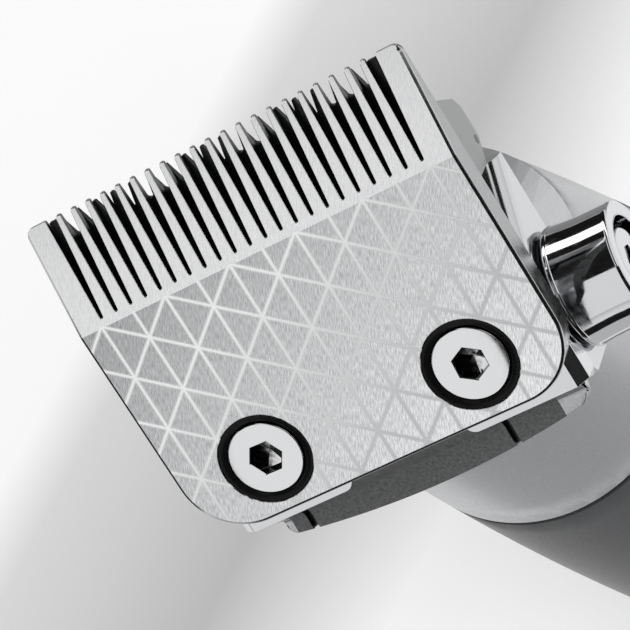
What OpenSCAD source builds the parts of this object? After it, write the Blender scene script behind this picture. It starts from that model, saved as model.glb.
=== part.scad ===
// Cordless hair and beard trimmer with an adjustable two-screw blade and a side taper lever.
// It stands upright on its flat tail: +Z runs up the round handle, the comb face looks
// towards -Y and upwards, and the taper lever sits on the +X side. All sizes in millimetres.

/* [Comb blade] */
// Width of the comb blade
comb_w = 46; // [44:0.5:50]
// Bevel line to rear edge of the comb blade
comb_back = 26.75; // [26:0.25:28]
// Thickness of the comb blade
comb_t = 3.2; // [3:0.1:3.6]
// Length of the sloped tooth face
tooth_len = 12.45; // [11:0.05:13]
// Slope of the tooth face below the main face, in degrees
tooth_slope = 12.4; // [10:0.1:13]
// Number of gaps between the comb teeth
tooth_gaps = 22; // [16:1:22]
// Distance from one comb tooth to the next
tooth_pitch = 1.868; // [1.7:0.01:1.9]
// Gap between two comb teeth at their tips
gap_tip_w = 1.3; // [1.1:0.05:1.4]
// Gap between two comb teeth at their roots
gap_root_w = 0.4; // [0.3:0.05:0.7]
// Bevel line to the end of each gap
root_land = 0.9; // [0.5:0.1:2]
// Radius of the rear corners of the comb
rear_corner_r = 7; // [4:0.5:8]
// Radius of the outer front corners of the comb
front_corner_r = 1; // [0.6:0.1:1.6]
// Angle between the comb face and the handle axis, in degrees
blade_tilt = 47; // [46:0.5:48]

/* [Blade screws] */
// Distance between the two blade screws
screw_spacing = 25.1; // [24.5:0.1:26]
// Bevel line to the blade screws
screw_back = 20.4; // [20:0.1:21]
// Thread diameter of a blade screw
screw_d = 4; // [3:0.1:4.2]
// Head diameter of a blade screw
screw_head_d = 8.1; // [7.6:0.1:8.4]
// Width across flats of the hexagon sockets
hex_af = 3.3; // [2.5:0.1:4]
// Outer diameter of the black cup ring round a screw head
ring_d = 10.15; // [9.8:0.05:10.6]

/* [Cutter] */
// Width of the moving cutter
cutter_w = 40.5; // [38:0.5:41]
// Thickness of the moving cutter
cutter_t = 1.8; // [1.4:0.1:2]
// Bevel line to the rear edge of the cutter
cutter_back = 8; // [7:0.25:9]
// Distance from one cutter tooth to the next
cutter_pitch = 2.24; // [2:0.02:2.3]
// Number of gaps between the cutter teeth
cutter_gaps = 17; // [13:1:17]
// Depth of the cutter gaps
cutter_tooth = 2.5; // [2:0.1:4]
// Comb tips ahead of the cutter tips with the lever closed
comb_lead = 0.5; // [0.3:0.05:1.2]
// Half of the cutter's side to side stroke
cutter_stroke = 1.2; // [0.8:0.1:1.4]

/* [Taper plate] */
// Width of the sliding taper plate
plate_w = 42.4; // [41:0.2:43]
// Thickness of the taper plate
plate_t = 4.1; // [3.6:0.1:4.6]
// How far the taper plate shows behind the comb
plate_reveal = 1.85; // [1.5:0.1:3]
// Chamfer along the sides of the taper plate
plate_chamfer = 1.2; // [0.6:0.1:1.6]
// Width of the notch in its rear edge
notch_w = 14; // [8:0.5:14]
// Depth of the notch in its rear edge
notch_deep = 3; // [2:0.25:3.5]

/* [Head] */
// Width of the head frame
head_w = 42; // [41:0.2:43]
// Depth of the head frame behind its blade seat
head_deep = 9.7; // [9:0.1:11]
// Handle axis to comb bevel line, along the comb face
bevel_off = 6.26; // [5.5:0.1:7]
// Point where the handle axis meets the comb face, above the round barrel
head_rise = 44; // [43:0.5:48]
// Flat top of the head frame below that point
head_drop = 20; // [19:0.25:20.5]
// Rounding of the top side edges of the head frame
head_round = 1.6; // [0.8:0.1:2]
// Handle axis to the front face of the chin
chin_out = 23.8; // [23.4:0.1:24.5]
// Lowest point of the chin below the comb face point
chin_drop = 34; // [33:0.25:35]
// Width of the dark chin insert
insert_w = 33; // [30:0.5:34]
// Thickness of the chin insert
insert_t = 2.2; // [1.6:0.1:2.6]
// Depth of the nose cover behind the comb face
nose_deep = 17.6; // [17.3:0.1:18]
// Wall of the nose cover
nose_wall = 2.1; // [1.6:0.1:2.4]

/* [Taper lever] */
// Diameter of the lever hub
hub_d = 13; // [12:0.25:14]
// Length of the lever hub with its collar
hub_len = 7.7; // [7:0.1:9]
// Bevel line to the lever axis
hub_back = 22; // [21.5:0.1:23]
// Lever axis below the blade seat
hub_drop = 5.8; // [5.6:0.1:6]
// Diameter of the lever shaft
shaft_d = 4.6; // [4.2:0.1:4.8]
// Offset of the cam pin from the lever axis
cam_throw = 2.3; // [1.8:0.1:2.4]
// Diameter of the cam pin
cam_pin_d = 2.4; // [2:0.1:2.6]
// Lever axis to the tip of the arm
lever_len = 36; // [30:1:42]
// Width of the lever arm at the hub
lever_w = 10; // [8:0.5:11]
// Thickness of the lever arm
lever_t = 3.2; // [2.6:0.1:4]
// Slant of the closed lever arm towards the back, in degrees
lever_slant = 18; // [10:1:25]
// Swing of the lever from closed to open, in degrees
lever_swing = 40; // [30:1:45]

/* [Handle] */
// Largest diameter of the handle
grip_d = 44.6; // [43:0.2:48]
// Height of the largest diameter
grip_z = 45; // [40:1:50]
// Radius of the long curve of the handle
grip_curve = 841; // [800:5:1000]
// Height of the seam between grip and barrel
seam_z = 103; // [100:0.5:106]
// Height at which the round barrel ends
neck_z = 126; // [124:0.5:127]
// Wall of the handle shells
wall = 2; // [1.6:0.1:2.4]
// Height of the tail cap
tail_h = 8.5; // [8:0.25:10]
// Rounding of the tail edge
tail_round = 5; // [3:0.25:6]

/* [Motor] */
// Diameter of the motor can
motor_d = 26; // [24:0.25:26.4]
// Length of the motor can with its end plate
motor_len = 38; // [34:0.5:40]
// Diameter of the motor shaft
rotor_shaft_d = 3; // [2.4:0.1:3.4]
// Handle axis to the crank pin
crank_r = 6; // [5.5:0.1:6.4]
// Diameter of the crank pin
crank_pin_d = 3; // [2.6:0.1:3.2]

/* [Power] */
// Diameter of the battery cell
cell_d = 18.4; // [17:0.1:18.6]
// Length of the battery cell
cell_len = 65; // [55:0.5:66]
// Diameter of the power button
button_d = 10.8; // [9:0.2:12]
// Travel of the power button
button_travel = 0.6; // [0.4:0.1:0.7]
// Bore of the charging socket
socket_bore_d = 3.6; // [3:0.1:4.5]

/* [Hidden] */
$fn = 128;

// Clearances: a seated fit, a running fit, a sliding gap and an open gap
seat_gap = 0.02;
run_gap = 0.04;
slide_gap = 0.15;
open_gap = 0.3;
// Overlap that makes a cut pass clean through a face
cut = 1;

// Height of the point where the handle axis meets the comb face
face_z = neck_z + head_rise;

// Depths behind the comb face
cutter_top_m = comb_t + run_gap;
cutter_low_m = cutter_top_m + cutter_t;
plate_top_m = comb_t + seat_gap;
plate_low_m = plate_top_m + plate_t;
seat_m = plate_low_m + slide_gap;
head_m = seat_m + head_deep;
hub_m = seat_m + hub_drop;
carrier_t = 3.1;
carrier_top_m = cutter_low_m + seat_gap;
carrier_low_m = carrier_top_m + carrier_t;

// Distances back from the bevel line
tip_y = tooth_len * cos(tooth_slope);
cutter_tip_y = tip_y - comb_lead;
comb_travel = 2 * cam_throw * sin(lever_swing / 2);
carrier_front = 1;
carrier_back = 12;
plate_front = carrier_back + comb_travel + open_gap;
plate_rear = comb_back + plate_reveal;
chin_front = plate_rear + open_gap;
rear_lip = 1.05;
head_rear = plate_rear + rear_lip;
head_front = 6.6;

// The blade frame in the handle frame: v back from the bevel line, m behind the comb face
function blade_y(v, m) = m * cos(blade_tilt) - (v + bevel_off) * sin(blade_tilt);
function blade_z(v, m) = face_z - (v + bevel_off) * cos(blade_tilt) - m * sin(blade_tilt);
// Height of the plane at depth m, over a point that lies out in front of the handle axis
function plane_z(out, m) = face_z - (out * cos(blade_tilt) + m) / sin(blade_tilt);
// Height at which the front of the handle frame at that distance lies v back on the blade
function back_z(out, v) = face_z - (v + bevel_off - out * sin(blade_tilt)) / cos(blade_tilt);

// Puts x across the blade, y towards the tips and z out of the comb face
module in_blade() {
    translate([0, blade_y(0, 0), blade_z(0, 0)])
        rotate([90 - blade_tilt, 0, 0])
            children();
}

// Stands a side outline in the handle frame and gives it a width across the part
module across(w) {
    translate([-w / 2, 0, 0])
        rotate([90, 0, 90])
            linear_extrude(w)
                children();
}

// Side outline from points given as [back from the bevel line, depth behind the comb face]
module side_outline(points) {
    polygon([for (p = points) [blade_y(p[0], p[1]), blade_z(p[0], p[1])]]);
}

// Cylinder or ring along X, from x0 to x1, centred on the present origin
module rod_x(x0, x1, d) {
    translate([x0, 0, 0])
        rotate([0, 90, 0])
            cylinder(d = d, h = x1 - x0);
}

// Cylinder along +Y, from y0 to y1
module rod_y(y0, y1, d) {
    translate([0, y0, 0])
        rotate([-90, 0, 0])
            cylinder(d = d, h = y1 - y0);
}

// Both sides of the mirror plane
module both_sides() {
    children();
    mirror([1, 0, 0])
        children();
}

// Comb blade
screw_x = screw_spacing / 2;
ring_lip = 0.5;
ring_deep = 1.5;
ring_low = ring_lip + ring_deep;
screw_sink = 0.15;
head_edge = 0.4;
relief_front = 2;
relief_back = 13;
relief_deep = 0.8;

module comb_outline() {
    half = comb_w / 2;
    rear = -comb_back + rear_corner_r;
    front = tip_y - front_corner_r;
    translate([-half, rear])
        square([comb_w, front - rear]);
    translate([-half + rear_corner_r, -comb_back])
        square([comb_w - 2 * rear_corner_r, comb_back]);
    translate([-half + front_corner_r, 0])
        square([comb_w - 2 * front_corner_r, tip_y]);
    for (side = [-1, 1]) {
        translate([side * (half - rear_corner_r), rear])
            circle(rear_corner_r);
        translate([side * (half - front_corner_r), front])
            circle(front_corner_r);
    }
}

// One tapered gap with a round end, from root to past the tips
module tooth_gap(root_y, end_y, root_w, tip_w) {
    centre_y = root_y + root_w / 2;
    over = cut / (end_y - centre_y);
    far_w = tip_w + (tip_w - root_w) * over;
    translate([0, centre_y])
        circle(d = root_w);
    polygon([[-root_w / 2, centre_y], [root_w / 2, centre_y],
        [far_w / 2, end_y + cut], [-far_w / 2, end_y + cut]]);
}

// Conical seat of a cup ring, with the hole for the screw below it
module ring_seat() {
    r = ring_d / 2 + seat_gap;
    hole_r = screw_head_d / 2 + screw_sink + head_edge - ring_low + slide_gap;
    rotate_extrude()
        polygon([[0, cut], [r, cut], [r, -ring_lip], [r - ring_deep, -ring_low],
            [hole_r, -ring_low], [hole_r, -comb_t - cut], [0, -comb_t - cut]]);
}

module comb_blade() {
    color("silver")
        in_blade()
            difference() {
                translate([0, 0, -comb_t])
                    linear_extrude(comb_t)
                        comb_outline();
                rotate([-tooth_slope, 0, 0])
                    translate([-comb_w, 0, 0])
                        cube([2 * comb_w, 2 * tooth_len, comb_t]);
                for (i = [0 : tooth_gaps - 1])
                    translate([(i - (tooth_gaps - 1) / 2) * tooth_pitch, 0, -comb_t - cut])
                        linear_extrude(comb_t + 2 * cut)
                            tooth_gap(root_land, tip_y, gap_root_w, gap_tip_w);
                both_sides()
                    translate([screw_x, -screw_back, 0])
                        ring_seat();
                translate([-cutter_w / 2 - 2 * cutter_stroke, -relief_back, -comb_t - cut])
                    cube([cutter_w + 4 * cutter_stroke, relief_back - relief_front, cut + relief_deep]);
            }
}

// Black conical cup under each blade screw, dished on top
module cup_rings() {
    r = ring_d / 2;
    head_r = screw_head_d / 2;
    cone_r = head_r + seat_gap;
    top_z = -0.08;
    dish_z = -0.34;
    edge_z = -screw_sink - head_edge;
    color("black")
        in_blade()
            both_sides()
                translate([screw_x, -screw_back, 0])
                    rotate_extrude()
                        polygon([[r, top_z], [r, -ring_lip], [r - ring_deep, -ring_low],
                            [cone_r - ring_low - edge_z, -ring_low], [cone_r, edge_z],
                            [cone_r + slide_gap, edge_z + slide_gap], [cone_r + slide_gap, dish_z]]);
}

// Flat-head hexagon socket screw, its head face at z = 0 and its point at z = -length
module socket_screw(head_d, d, length, af, turn) {
    edge = head_edge;
    chamfer = 0.12;
    cone = (head_d - d) / 2;
    difference() {
        rotate_extrude()
            polygon([[0, 0], [head_d / 2 - chamfer, 0], [head_d / 2, -chamfer], [head_d / 2, -edge],
                [d / 2, -edge - cone], [d / 2, -length], [0, -length]]);
        rotate(turn)
            translate([0, 0, -cone * 2 / 3])
                cylinder(d = af / cos(30), h = cone, $fn = 6);
    }
}

module blade_screws() {
    length = plate_low_m - screw_sink - open_gap;
    left_turn = -2;
    right_turn = 26;
    color("gainsboro")
        in_blade() {
            translate([-screw_x, -screw_back, -screw_sink])
                socket_screw(screw_head_d, screw_d, length, hex_af, left_turn);
            translate([screw_x, -screw_back, -screw_sink])
                socket_screw(screw_head_d, screw_d, length, hex_af, right_turn);
        }
}

// Taper plate: carries the comb, slides on the head frame and is moved by the cam pin
guide_x = 7.5;
guide_edge = 2.9;
guide_v = plate_front + guide_edge;
guide_d = 2.6;
guide_head_d = 4;
guide_head_t = 1.2;
lug_x0 = 12.6;
lug_x1 = 14.6;
lug_half = 3;
lug_foot = 2.3;
cam_y = -hub_back - cam_throw * sin(lever_swing / 2);
cam_z = -hub_m + cam_throw * cos(lever_swing / 2);
cam_lift = cam_throw * (1 - cos(lever_swing / 2)) + slide_gap;

// Slot with round ends along y, from y0 to y1
module slot_y(d, y0, y1) {
    translate([-d / 2, y0])
        square([d, y1 - y0]);
    for (y = [y0, y1])
        translate([0, y])
            circle(d = d);
}

module plate_body() {
    half = plate_w / 2;
    depth = plate_rear - plate_front;
    intersection() {
        translate([0, -plate_front, 0])
            rotate([90, 0, 0])
                linear_extrude(depth)
                    polygon([[-half, -plate_low_m], [half, -plate_low_m],
                        [half, -plate_top_m - plate_chamfer], [half - plate_chamfer, -plate_top_m],
                        [plate_chamfer - half, -plate_top_m], [-half, -plate_top_m - plate_chamfer]]);
        translate([0, 0, -plate_low_m - cut])
            linear_extrude(plate_t + 2 * cut)
                difference() {
                    translate([-half - cut, -plate_rear])
                        square([plate_w + 2 * cut, depth]);
                    translate([-notch_w / 2, -plate_rear - cut])
                        square([notch_w, notch_deep + cut]);
                }
    }
}

module taper_plate() {
    slot_end = comb_travel + slide_gap;
    color("whitesmoke")
        in_blade()
            difference() {
                union() {
                    plate_body();
                    translate([lug_x0, cam_y - lug_half, cam_z - lug_foot])
                        cube([lug_x1 - lug_x0, 2 * lug_half, -plate_low_m + cut - cam_z + lug_foot]);
                }
                both_sides()
                    translate([screw_x, -screw_back, -plate_low_m - cut])
                        cylinder(d = screw_d + 2 * seat_gap, h = plate_t + 2 * cut);
                both_sides()
                    translate([guide_x, -guide_v, -plate_low_m - cut])
                        linear_extrude(plate_t + 2 * cut)
                            slot_y(guide_d + 2 * run_gap, -slot_end, slide_gap);
                both_sides()
                    translate([guide_x, -guide_v, -plate_top_m - guide_head_t - 2 * slide_gap])
                        linear_extrude(guide_head_t + 2 * slide_gap + cut)
                            slot_y(guide_head_d + 2 * slide_gap, -slot_end, slide_gap);
                translate([lug_x0 - cut, cam_y, cam_z])
                    rotate([90, 0, 90])
                        linear_extrude(lug_x1 - lug_x0 + 2 * cut)
                            slot_y(cam_pin_d + 2 * run_gap, -slide_gap, cam_lift);
            }
}

// Shouldered pins that hold the taper plate down on its seat
module guide_pins() {
    pin_deep = 3.5;
    color("dimgray")
        in_blade()
            both_sides()
                translate([guide_x, -guide_v, 0]) {
                    translate([0, 0, -seat_m - pin_deep])
                        cylinder(d = guide_d, h = pin_deep + plate_t - guide_head_t);
                    translate([0, 0, -plate_top_m - slide_gap - guide_head_t])
                        cylinder(d = guide_head_d, h = guide_head_t);
                }
}

// Cutter with short teeth, bevelled below towards its edge
carrier_pin_x = 9;
carrier_pin_v = 4;
carrier_pin_d = 3;

module cutter_blade() {
    gap_root = 1;
    gap_tip = 1.9;
    edge_t = 0.6;
    bevel_y = 4;
    color("dimgray")
        in_blade()
            difference() {
                translate([-cutter_w / 2, -cutter_back, -cutter_low_m])
                    cube([cutter_w, cutter_back + cutter_tip_y, cutter_t]);
                for (i = [0 : cutter_gaps - 1])
                    translate([(i - (cutter_gaps - 1) / 2) * cutter_pitch, 0, -cutter_low_m - cut])
                        linear_extrude(cutter_t + 2 * cut)
                            tooth_gap(cutter_tip_y - cutter_tooth, cutter_tip_y, gap_root, gap_tip);
                translate([0, bevel_y, -cutter_low_m])
                    rotate([atan2(cutter_t - edge_t, cutter_tip_y - bevel_y), 0, 0])
                        translate([-comb_w / 2, 0, -cutter_t])
                            cube([comb_w, 2 * tooth_len, cutter_t]);
                both_sides()
                    translate([carrier_pin_x, -carrier_pin_v, -cutter_low_m - cut])
                        cylinder(d = carrier_pin_d + 2 * seat_gap, h = cutter_t + 2 * cut);
            }
}

// Yoke on the back of the cutter, with the upright slot for the crank pin
carrier_w = 27;

module cutter_carrier() {
    slot_w = crank_pin_d + 2 * run_gap;
    slot_l = crank_pin_d + cutter_stroke;
    color("darkslategray")
        difference() {
            in_blade()
                difference() {
                    translate([-carrier_w / 2, -carrier_back, -carrier_low_m])
                        cube([carrier_w, carrier_back - carrier_front, carrier_t]);
                    both_sides()
                        translate([carrier_pin_x, -carrier_pin_v, -carrier_low_m - cut])
                            cylinder(d = carrier_pin_d + 2 * seat_gap, h = carrier_t + 2 * cut);
                }
            translate([-slot_w / 2, -crank_r - slot_l / 2, blade_z(carrier_back, carrier_low_m) - cut])
                cube([slot_w, slot_l, 2 * carrier_back]);
        }
}

module carrier_pins() {
    top_m = cutter_top_m + slide_gap;
    color("gray")
        in_blade()
            both_sides()
                translate([carrier_pin_x, -carrier_pin_v, -carrier_low_m])
                    cylinder(d = carrier_pin_d, h = carrier_low_m - top_m);
}

// Two leaf springs that press the yoke, and with it the cutter, against the comb
module tension_springs() {
    leaf_t = 0.5;
    leaf_w = 2;
    leaf_x = 10;
    base_m = nose_deep - nose_wall - run_gap;
    tip_m = carrier_low_m + run_gap;
    base_v0 = 1;
    base_v1 = 3.2;
    tip_v0 = 6.6;
    tip_v1 = 8;
    color("silver")
        both_sides()
            translate([leaf_x, 0, 0])
                across(leaf_w)
                    side_outline([[base_v0, base_m], [base_v1, base_m], [tip_v1, tip_m],
                        [tip_v0, tip_m], [base_v1 - leaf_t, base_m - leaf_t],
                        [base_v0, base_m - leaf_t]]);
}

// Head frame: polished wedge that carries the blade seat, the nose, the chin and the lever
head_top = face_z - head_drop;
chin_low = face_z - chin_drop;
chin_w = 39.2;
chin_root = 11.2;
tab_w = 2.7;
chin_bow = 65;
wall_x = head_w / 2;
bush_wall = 1;
bush_d = shaft_d + 2 * bush_wall;
disc_room = 2.2;
bush_x0 = lug_x1 + disc_room;
disc_edge = 0.2;
cam_disc_d = 2 * (cam_throw + disc_edge) + cam_pin_d;
head_screw_x = 17.3;
head_screw_v = 16;
head_screw_d = 2.5;
head_screw_head_d = 4.5;
head_boss = 4;
boss_floor = 0.8;
crank_window_x = 4.2;
crank_window_y = 3.4;
tab_rise = 4.85;

// Side outline of the chin, from its front face inwards by a depth
module chin_outline(depth) {
    inner = chin_out - depth;
    polygon([[-chin_out, back_z(chin_out, chin_front)], [-chin_out, chin_low], [-inner, chin_low],
        [-inner, back_z(inner, chin_front)]]);
}

// Front outline of the chin: low and bowed in the middle, with a round tab at each end
module chin_front_outline(middle_w, tab_x) {
    intersection() {
        translate([-middle_w / 2, chin_low])
            square([middle_w, chin_drop]);
        translate([0, chin_low + chin_bow])
            circle(chin_bow, $fn = 180);
    }
    for (x = tab_x) {
        translate([x, chin_low + tab_rise])
            circle(d = tab_w);
        translate([x - tab_w / 2, chin_low + tab_rise])
            square([tab_w, chin_drop]);
    }
}

// Bar along Y with a front outline of the present children
module along_y() {
    translate([0, comb_w, 0])
        rotate([90, 0, 0])
            linear_extrude(2 * comb_w)
                children();
}

module head_body() {
    intersection() {
        across(head_w)
            side_outline([[head_front, 0], [head_front, head_m], [head_rear, head_m],
                [head_rear, seat_m], [chin_front, seat_m], [head_front, seat_m]]);
        along_y() {
            translate([-wall_x, 0])
                square([head_w, head_top - head_round]);
            translate([head_round - wall_x, 0])
                square([head_w - 2 * head_round, head_top]);
            for (side = [-1, 1])
                translate([side * (wall_x - head_round), head_top - head_round])
                    circle(head_round);
        }
    }
    intersection() {
        across(chin_w)
            chin_outline(chin_root);
        along_y()
            chin_front_outline(insert_w + 2 * slide_gap, [-(chin_w - tab_w) / 2, (chin_w - tab_w) / 2]);
    }
}

module head_frame() {
    color("lightgray")
        difference() {
            head_body();
            across(insert_w + 2 * slide_gap)
                translate([-chin_out - cut, chin_low - cut])
                    square([insert_t + slide_gap + cut, chin_drop]);
            translate([-crank_window_x, -crank_r - crank_window_y, chin_low - cut])
                cube([2 * crank_window_x, 2 * crank_window_y, chin_drop]);
            in_blade() {
                translate([lug_x0 - open_gap, cam_y - lug_half - open_gap, -hub_m - cam_disc_d / 2 - slide_gap])
                    cube([bush_x0 - lug_x0 + open_gap, 2 * lug_half + comb_travel + 2 * open_gap, head_m]);
                translate([0, -hub_back, -hub_m]) {
                    rod_x(lug_x1, wall_x + cut, bush_d + 2 * seat_gap);
                    rod_x(lug_x0 - open_gap, bush_x0, cam_disc_d + 2 * slide_gap);
                }
                both_sides()
                    translate([guide_x, -guide_v, -head_m - cut])
                        cylinder(d = guide_d + 2 * seat_gap, h = head_m);
                both_sides()
                    translate([head_screw_x, -head_screw_v, -head_m - cut]) {
                        cylinder(d = head_screw_d + 2 * slide_gap, h = head_m);
                        translate([0, 0, head_m - seat_m - head_screw_d + cut])
                            cylinder(d = head_screw_head_d + 2 * slide_gap, h = head_m);
                    }
            }
        }
}

// Screws that hold the head frame to the neck shell, hidden under the taper plate
module head_screws() {
    shank = head_deep - head_screw_d + head_boss - boss_floor - slide_gap;
    color("dimgray")
        in_blade()
            both_sides()
                translate([head_screw_x, -head_screw_v, -seat_m - head_screw_d]) {
                    translate([0, 0, seat_gap])
                        cylinder(d = head_screw_head_d, h = head_screw_d - slide_gap);
                    translate([0, 0, -shank])
                        cylinder(d = head_screw_d, h = shank + cut);
                }
}

// Dark grained insert across the chin, with two upright grooves
module chin_insert() {
    groove_x = 11.2;
    groove_w = 0.9;
    groove_deep = 0.8;
    color("#3c3c3c")
        difference() {
            intersection() {
                across(insert_w)
                    chin_outline(insert_t);
                along_y()
                    chin_front_outline(insert_w, []);
            }
            both_sides()
                translate([groove_x, -chin_out - cut, chin_low - cut])
                    cube([groove_w, cut + groove_deep, chin_drop]);
        }
}

// Nose cover: grey box behind the cutter that hides the yoke, its front leaning out towards the comb
nose_tip = -0.5;
nose_lean = 21.5;
nose_end = head_front - seat_gap;
nose_step = 1.3;
nose_w = head_w - 2 * nose_step;
nose_corner = 1;
nose_tongue_w = 32;
nose_screw_v = 4.1;
nose_screw_m = nose_deep - nose_wall / 2;
nose_screw_d = 1;
nose_screw_len = 4;
nose_screw_side = 0.3;
// Front of the nose cover at a depth behind the comb face
function nose_front(m) = nose_tip - (nose_deep - m) * tan(nose_lean);

module nose_cover() {
    inner_w = nose_w - 2 * nose_wall;
    inner_m = nose_deep - nose_wall;
    front_wall = nose_wall / cos(nose_lean);
    side_top_m = cutter_low_m + 2 * open_gap;
    front_top_m = carrier_low_m + open_gap;
    low_m = nose_deep - nose_corner;
    color("#9a9a9a")
        difference() {
            intersection() {
                across(nose_w)
                    side_outline([[nose_front(side_top_m), side_top_m], [nose_front(low_m), low_m],
                        [nose_tip + nose_corner, nose_deep], [nose_end, nose_deep], [nose_end, side_top_m]]);
                union() {
                    translate([-comb_w, -comb_w, head_top + run_gap])
                        cube([2 * comb_w, 2 * comb_w, comb_w]);
                    across(nose_tongue_w)
                        side_outline([[nose_tip, inner_m], [nose_tip, nose_deep + cut],
                            [nose_end + cut, nose_deep + cut], [nose_end + cut, inner_m]]);
                }
            }
            across(inner_w)
                side_outline([[nose_front(0) + front_wall, 0], [nose_front(inner_m) + front_wall, inner_m],
                    [2 * nose_end, inner_m], [2 * nose_end, 0]]);
            across(inner_w)
                side_outline([[nose_front(0) - cut, 0], [nose_front(0) - cut, front_top_m],
                    [nose_end, front_top_m], [nose_end, 0]]);
            both_sides()
                translate([0, blade_y(nose_screw_v, nose_screw_m), blade_z(nose_screw_v, nose_screw_m)])
                    rod_x(nose_w / 2 - nose_screw_len, comb_w, nose_screw_d + 2 * seat_gap);
        }
}

module nose_screws() {
    color("#202020")
        both_sides()
            translate([0, blade_y(nose_screw_v, nose_screw_m), blade_z(nose_screw_v, nose_screw_m)])
                rod_x(nose_w / 2 - nose_screw_len + seat_gap, nose_w / 2 - nose_screw_side, nose_screw_d);
}

// Taper lever with its bush, washer, cam shaft and screw, all on one axis across the head
washer_t = 0.4;
hub_x0 = wall_x + washer_t + 2 * run_gap;
hub_x1 = hub_x0 + hub_len;
collar_t = 1.4;
collar_step = 0.4;
hub_rim = 1.5;
recess_deep = 1.1;
shaft_in = 3;
shaft_x1 = hub_x0 + shaft_in;
lever_screw_d = 2.2;
thread_in = 2;
lever_screw_x0 = bush_x0 + thread_in;

// Puts the lever axis on X at the present origin, with y towards the tips
module on_lever_axis() {
    in_blade()
        translate([0, -hub_back, -hub_m])
            children();
}

module lever_bush() {
    color("goldenrod")
        on_lever_axis()
            difference() {
                rod_x(bush_x0 + seat_gap, wall_x, bush_d);
                rod_x(bush_x0 - cut, wall_x + cut, shaft_d + 2 * run_gap);
            }
}

module lever_washer() {
    inset = 0.5;
    color("black")
        on_lever_axis()
            difference() {
                rod_x(wall_x + run_gap, wall_x + run_gap + washer_t, hub_d - 2 * inset);
                rod_x(wall_x - cut, hub_x1, shaft_d + 2 * run_gap);
            }
}

module lever_shaft() {
    disc_x0 = lug_x1 + slide_gap;
    color("gray")
        on_lever_axis()
            difference() {
                union() {
                    rod_x(bush_x0 - cut, shaft_x1, shaft_d);
                    rod_x(disc_x0, bush_x0 - slide_gap, cam_disc_d);
                    translate([0, cam_y + hub_back, cam_z + hub_m])
                        rod_x(lug_x0 - slide_gap, disc_x0 + cut, cam_pin_d);
                }
                rod_x(lever_screw_x0 - slide_gap, hub_x1, lever_screw_d + 2 * seat_gap);
            }
}

// Lever arm outline in the side view, from the hub centre along -y of its own frame
module arm_outline() {
    tip_d = 0.8 * lever_w;
    reach = lever_len - tip_d / 2;
    polygon([[-lever_w / 2, 0], [lever_w / 2, 0], [tip_d / 2, -reach], [-tip_d / 2, -reach]]);
    translate([0, -reach])
        circle(d = tip_d);
}

module taper_lever() {
    arm_gap = 0.5;
    arm_x0 = hub_x0 + arm_gap;
    rib_end = 3.5;
    rib_t = 0.8;
    rib_pitch = 2;
    rib_count = 4;
    color("silver")
        translate([0, blade_y(hub_back, hub_m), blade_z(hub_back, hub_m)])
            difference() {
                union() {
                    rod_x(hub_x0, hub_x0 + collar_t, hub_d + 2 * collar_step);
                    rod_x(hub_x0, hub_x1, hub_d);
                    rotate([lever_slant, 0, 0]) {
                        translate([arm_x0, 0, 0])
                            rotate([90, 0, 90])
                                linear_extrude(lever_t)
                                    arm_outline();
                        for (i = [0 : rib_count - 1])
                            translate([arm_x0, -lever_w / 4, rib_end - lever_len + i * rib_pitch])
                                cube([lever_t + rib_t, lever_w / 2, rib_t]);
                    }
                }
                rod_x(hub_x0 - cut, shaft_x1, shaft_d + 2 * seat_gap);
                rod_x(hub_x0 - cut, hub_x1 + cut, lever_screw_d + 2 * seat_gap);
                rod_x(hub_x1 - recess_deep, hub_x1 + cut, hub_d - 2 * hub_rim);
            }
}

module lever_screw() {
    head_room = 0.5;
    head_d = hub_d - 2 * (hub_rim + head_room);
    head_x0 = hub_x1 - recess_deep;
    head_t = 0.85;
    socket_af = 3;
    color("whitesmoke")
        on_lever_axis()
            difference() {
                union() {
                    rod_x(head_x0, head_x0 + head_t, head_d);
                    rod_x(lever_screw_x0, head_x0 + seat_gap, lever_screw_d);
                }
                translate([head_x0 + head_t / 3, 0, 0])
                    rotate([0, 90, 0])
                        cylinder(d = socket_af / cos(30), h = cut, $fn = 6);
            }
}

// Handle shells: one long shallow curve in profile, turned about Z
grip_r = grip_d / 2;
function grip_at(z) = grip_r - grip_curve + sqrt(pow(grip_curve, 2) - pow(z - grip_z, 2));
neck_r = grip_at(neck_z);
seal_t = 0.8;
spigot_len = 6;

// Half profile of the handle between two heights, drawn in from its surface
module grip_profile(z0, z1, inset) {
    intersection() {
        translate([grip_r - grip_curve, grip_z])
            circle(grip_curve - inset, $fn = 1440);
        translate([0, z0])
            square([grip_d, z1 - z0]);
    }
}

module grip_tube(z0, z1) {
    rotate_extrude()
        difference() {
            grip_profile(z0, z1, 0);
            grip_profile(z0 - cut, z1 + cut, wall);
        }
}

// Outline of the neck where it meets the back of the head frame
neck_step = 0.5;
neck_top_r = 12;
neck_low_r = 6;

module neck_slab(inset) {
    half = wall_x - neck_step - inset;
    top = -head_front - neck_step - inset;
    low = -head_rear + inset;
    top_r = neck_top_r - inset;
    low_r = neck_low_r - inset;
    hull() {
        for (side = [-1, 1]) {
            translate([side * (half - top_r), top - top_r])
                circle(top_r, $fn = 32);
            translate([side * (half - low_r), low + low_r])
                circle(low_r, $fn = 32);
        }
    }
}

module neck_solid(inset, over) {
    slab_t = 0.5;
    hull() {
        translate([0, 0, neck_z - over])
            cylinder(r = neck_r - inset, h = slab_t, $fn = 64);
        in_blade()
            translate([0, 0, -head_m - seat_gap - slab_t])
                linear_extrude(slab_t + over)
                    neck_slab(inset);
    }
}

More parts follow.
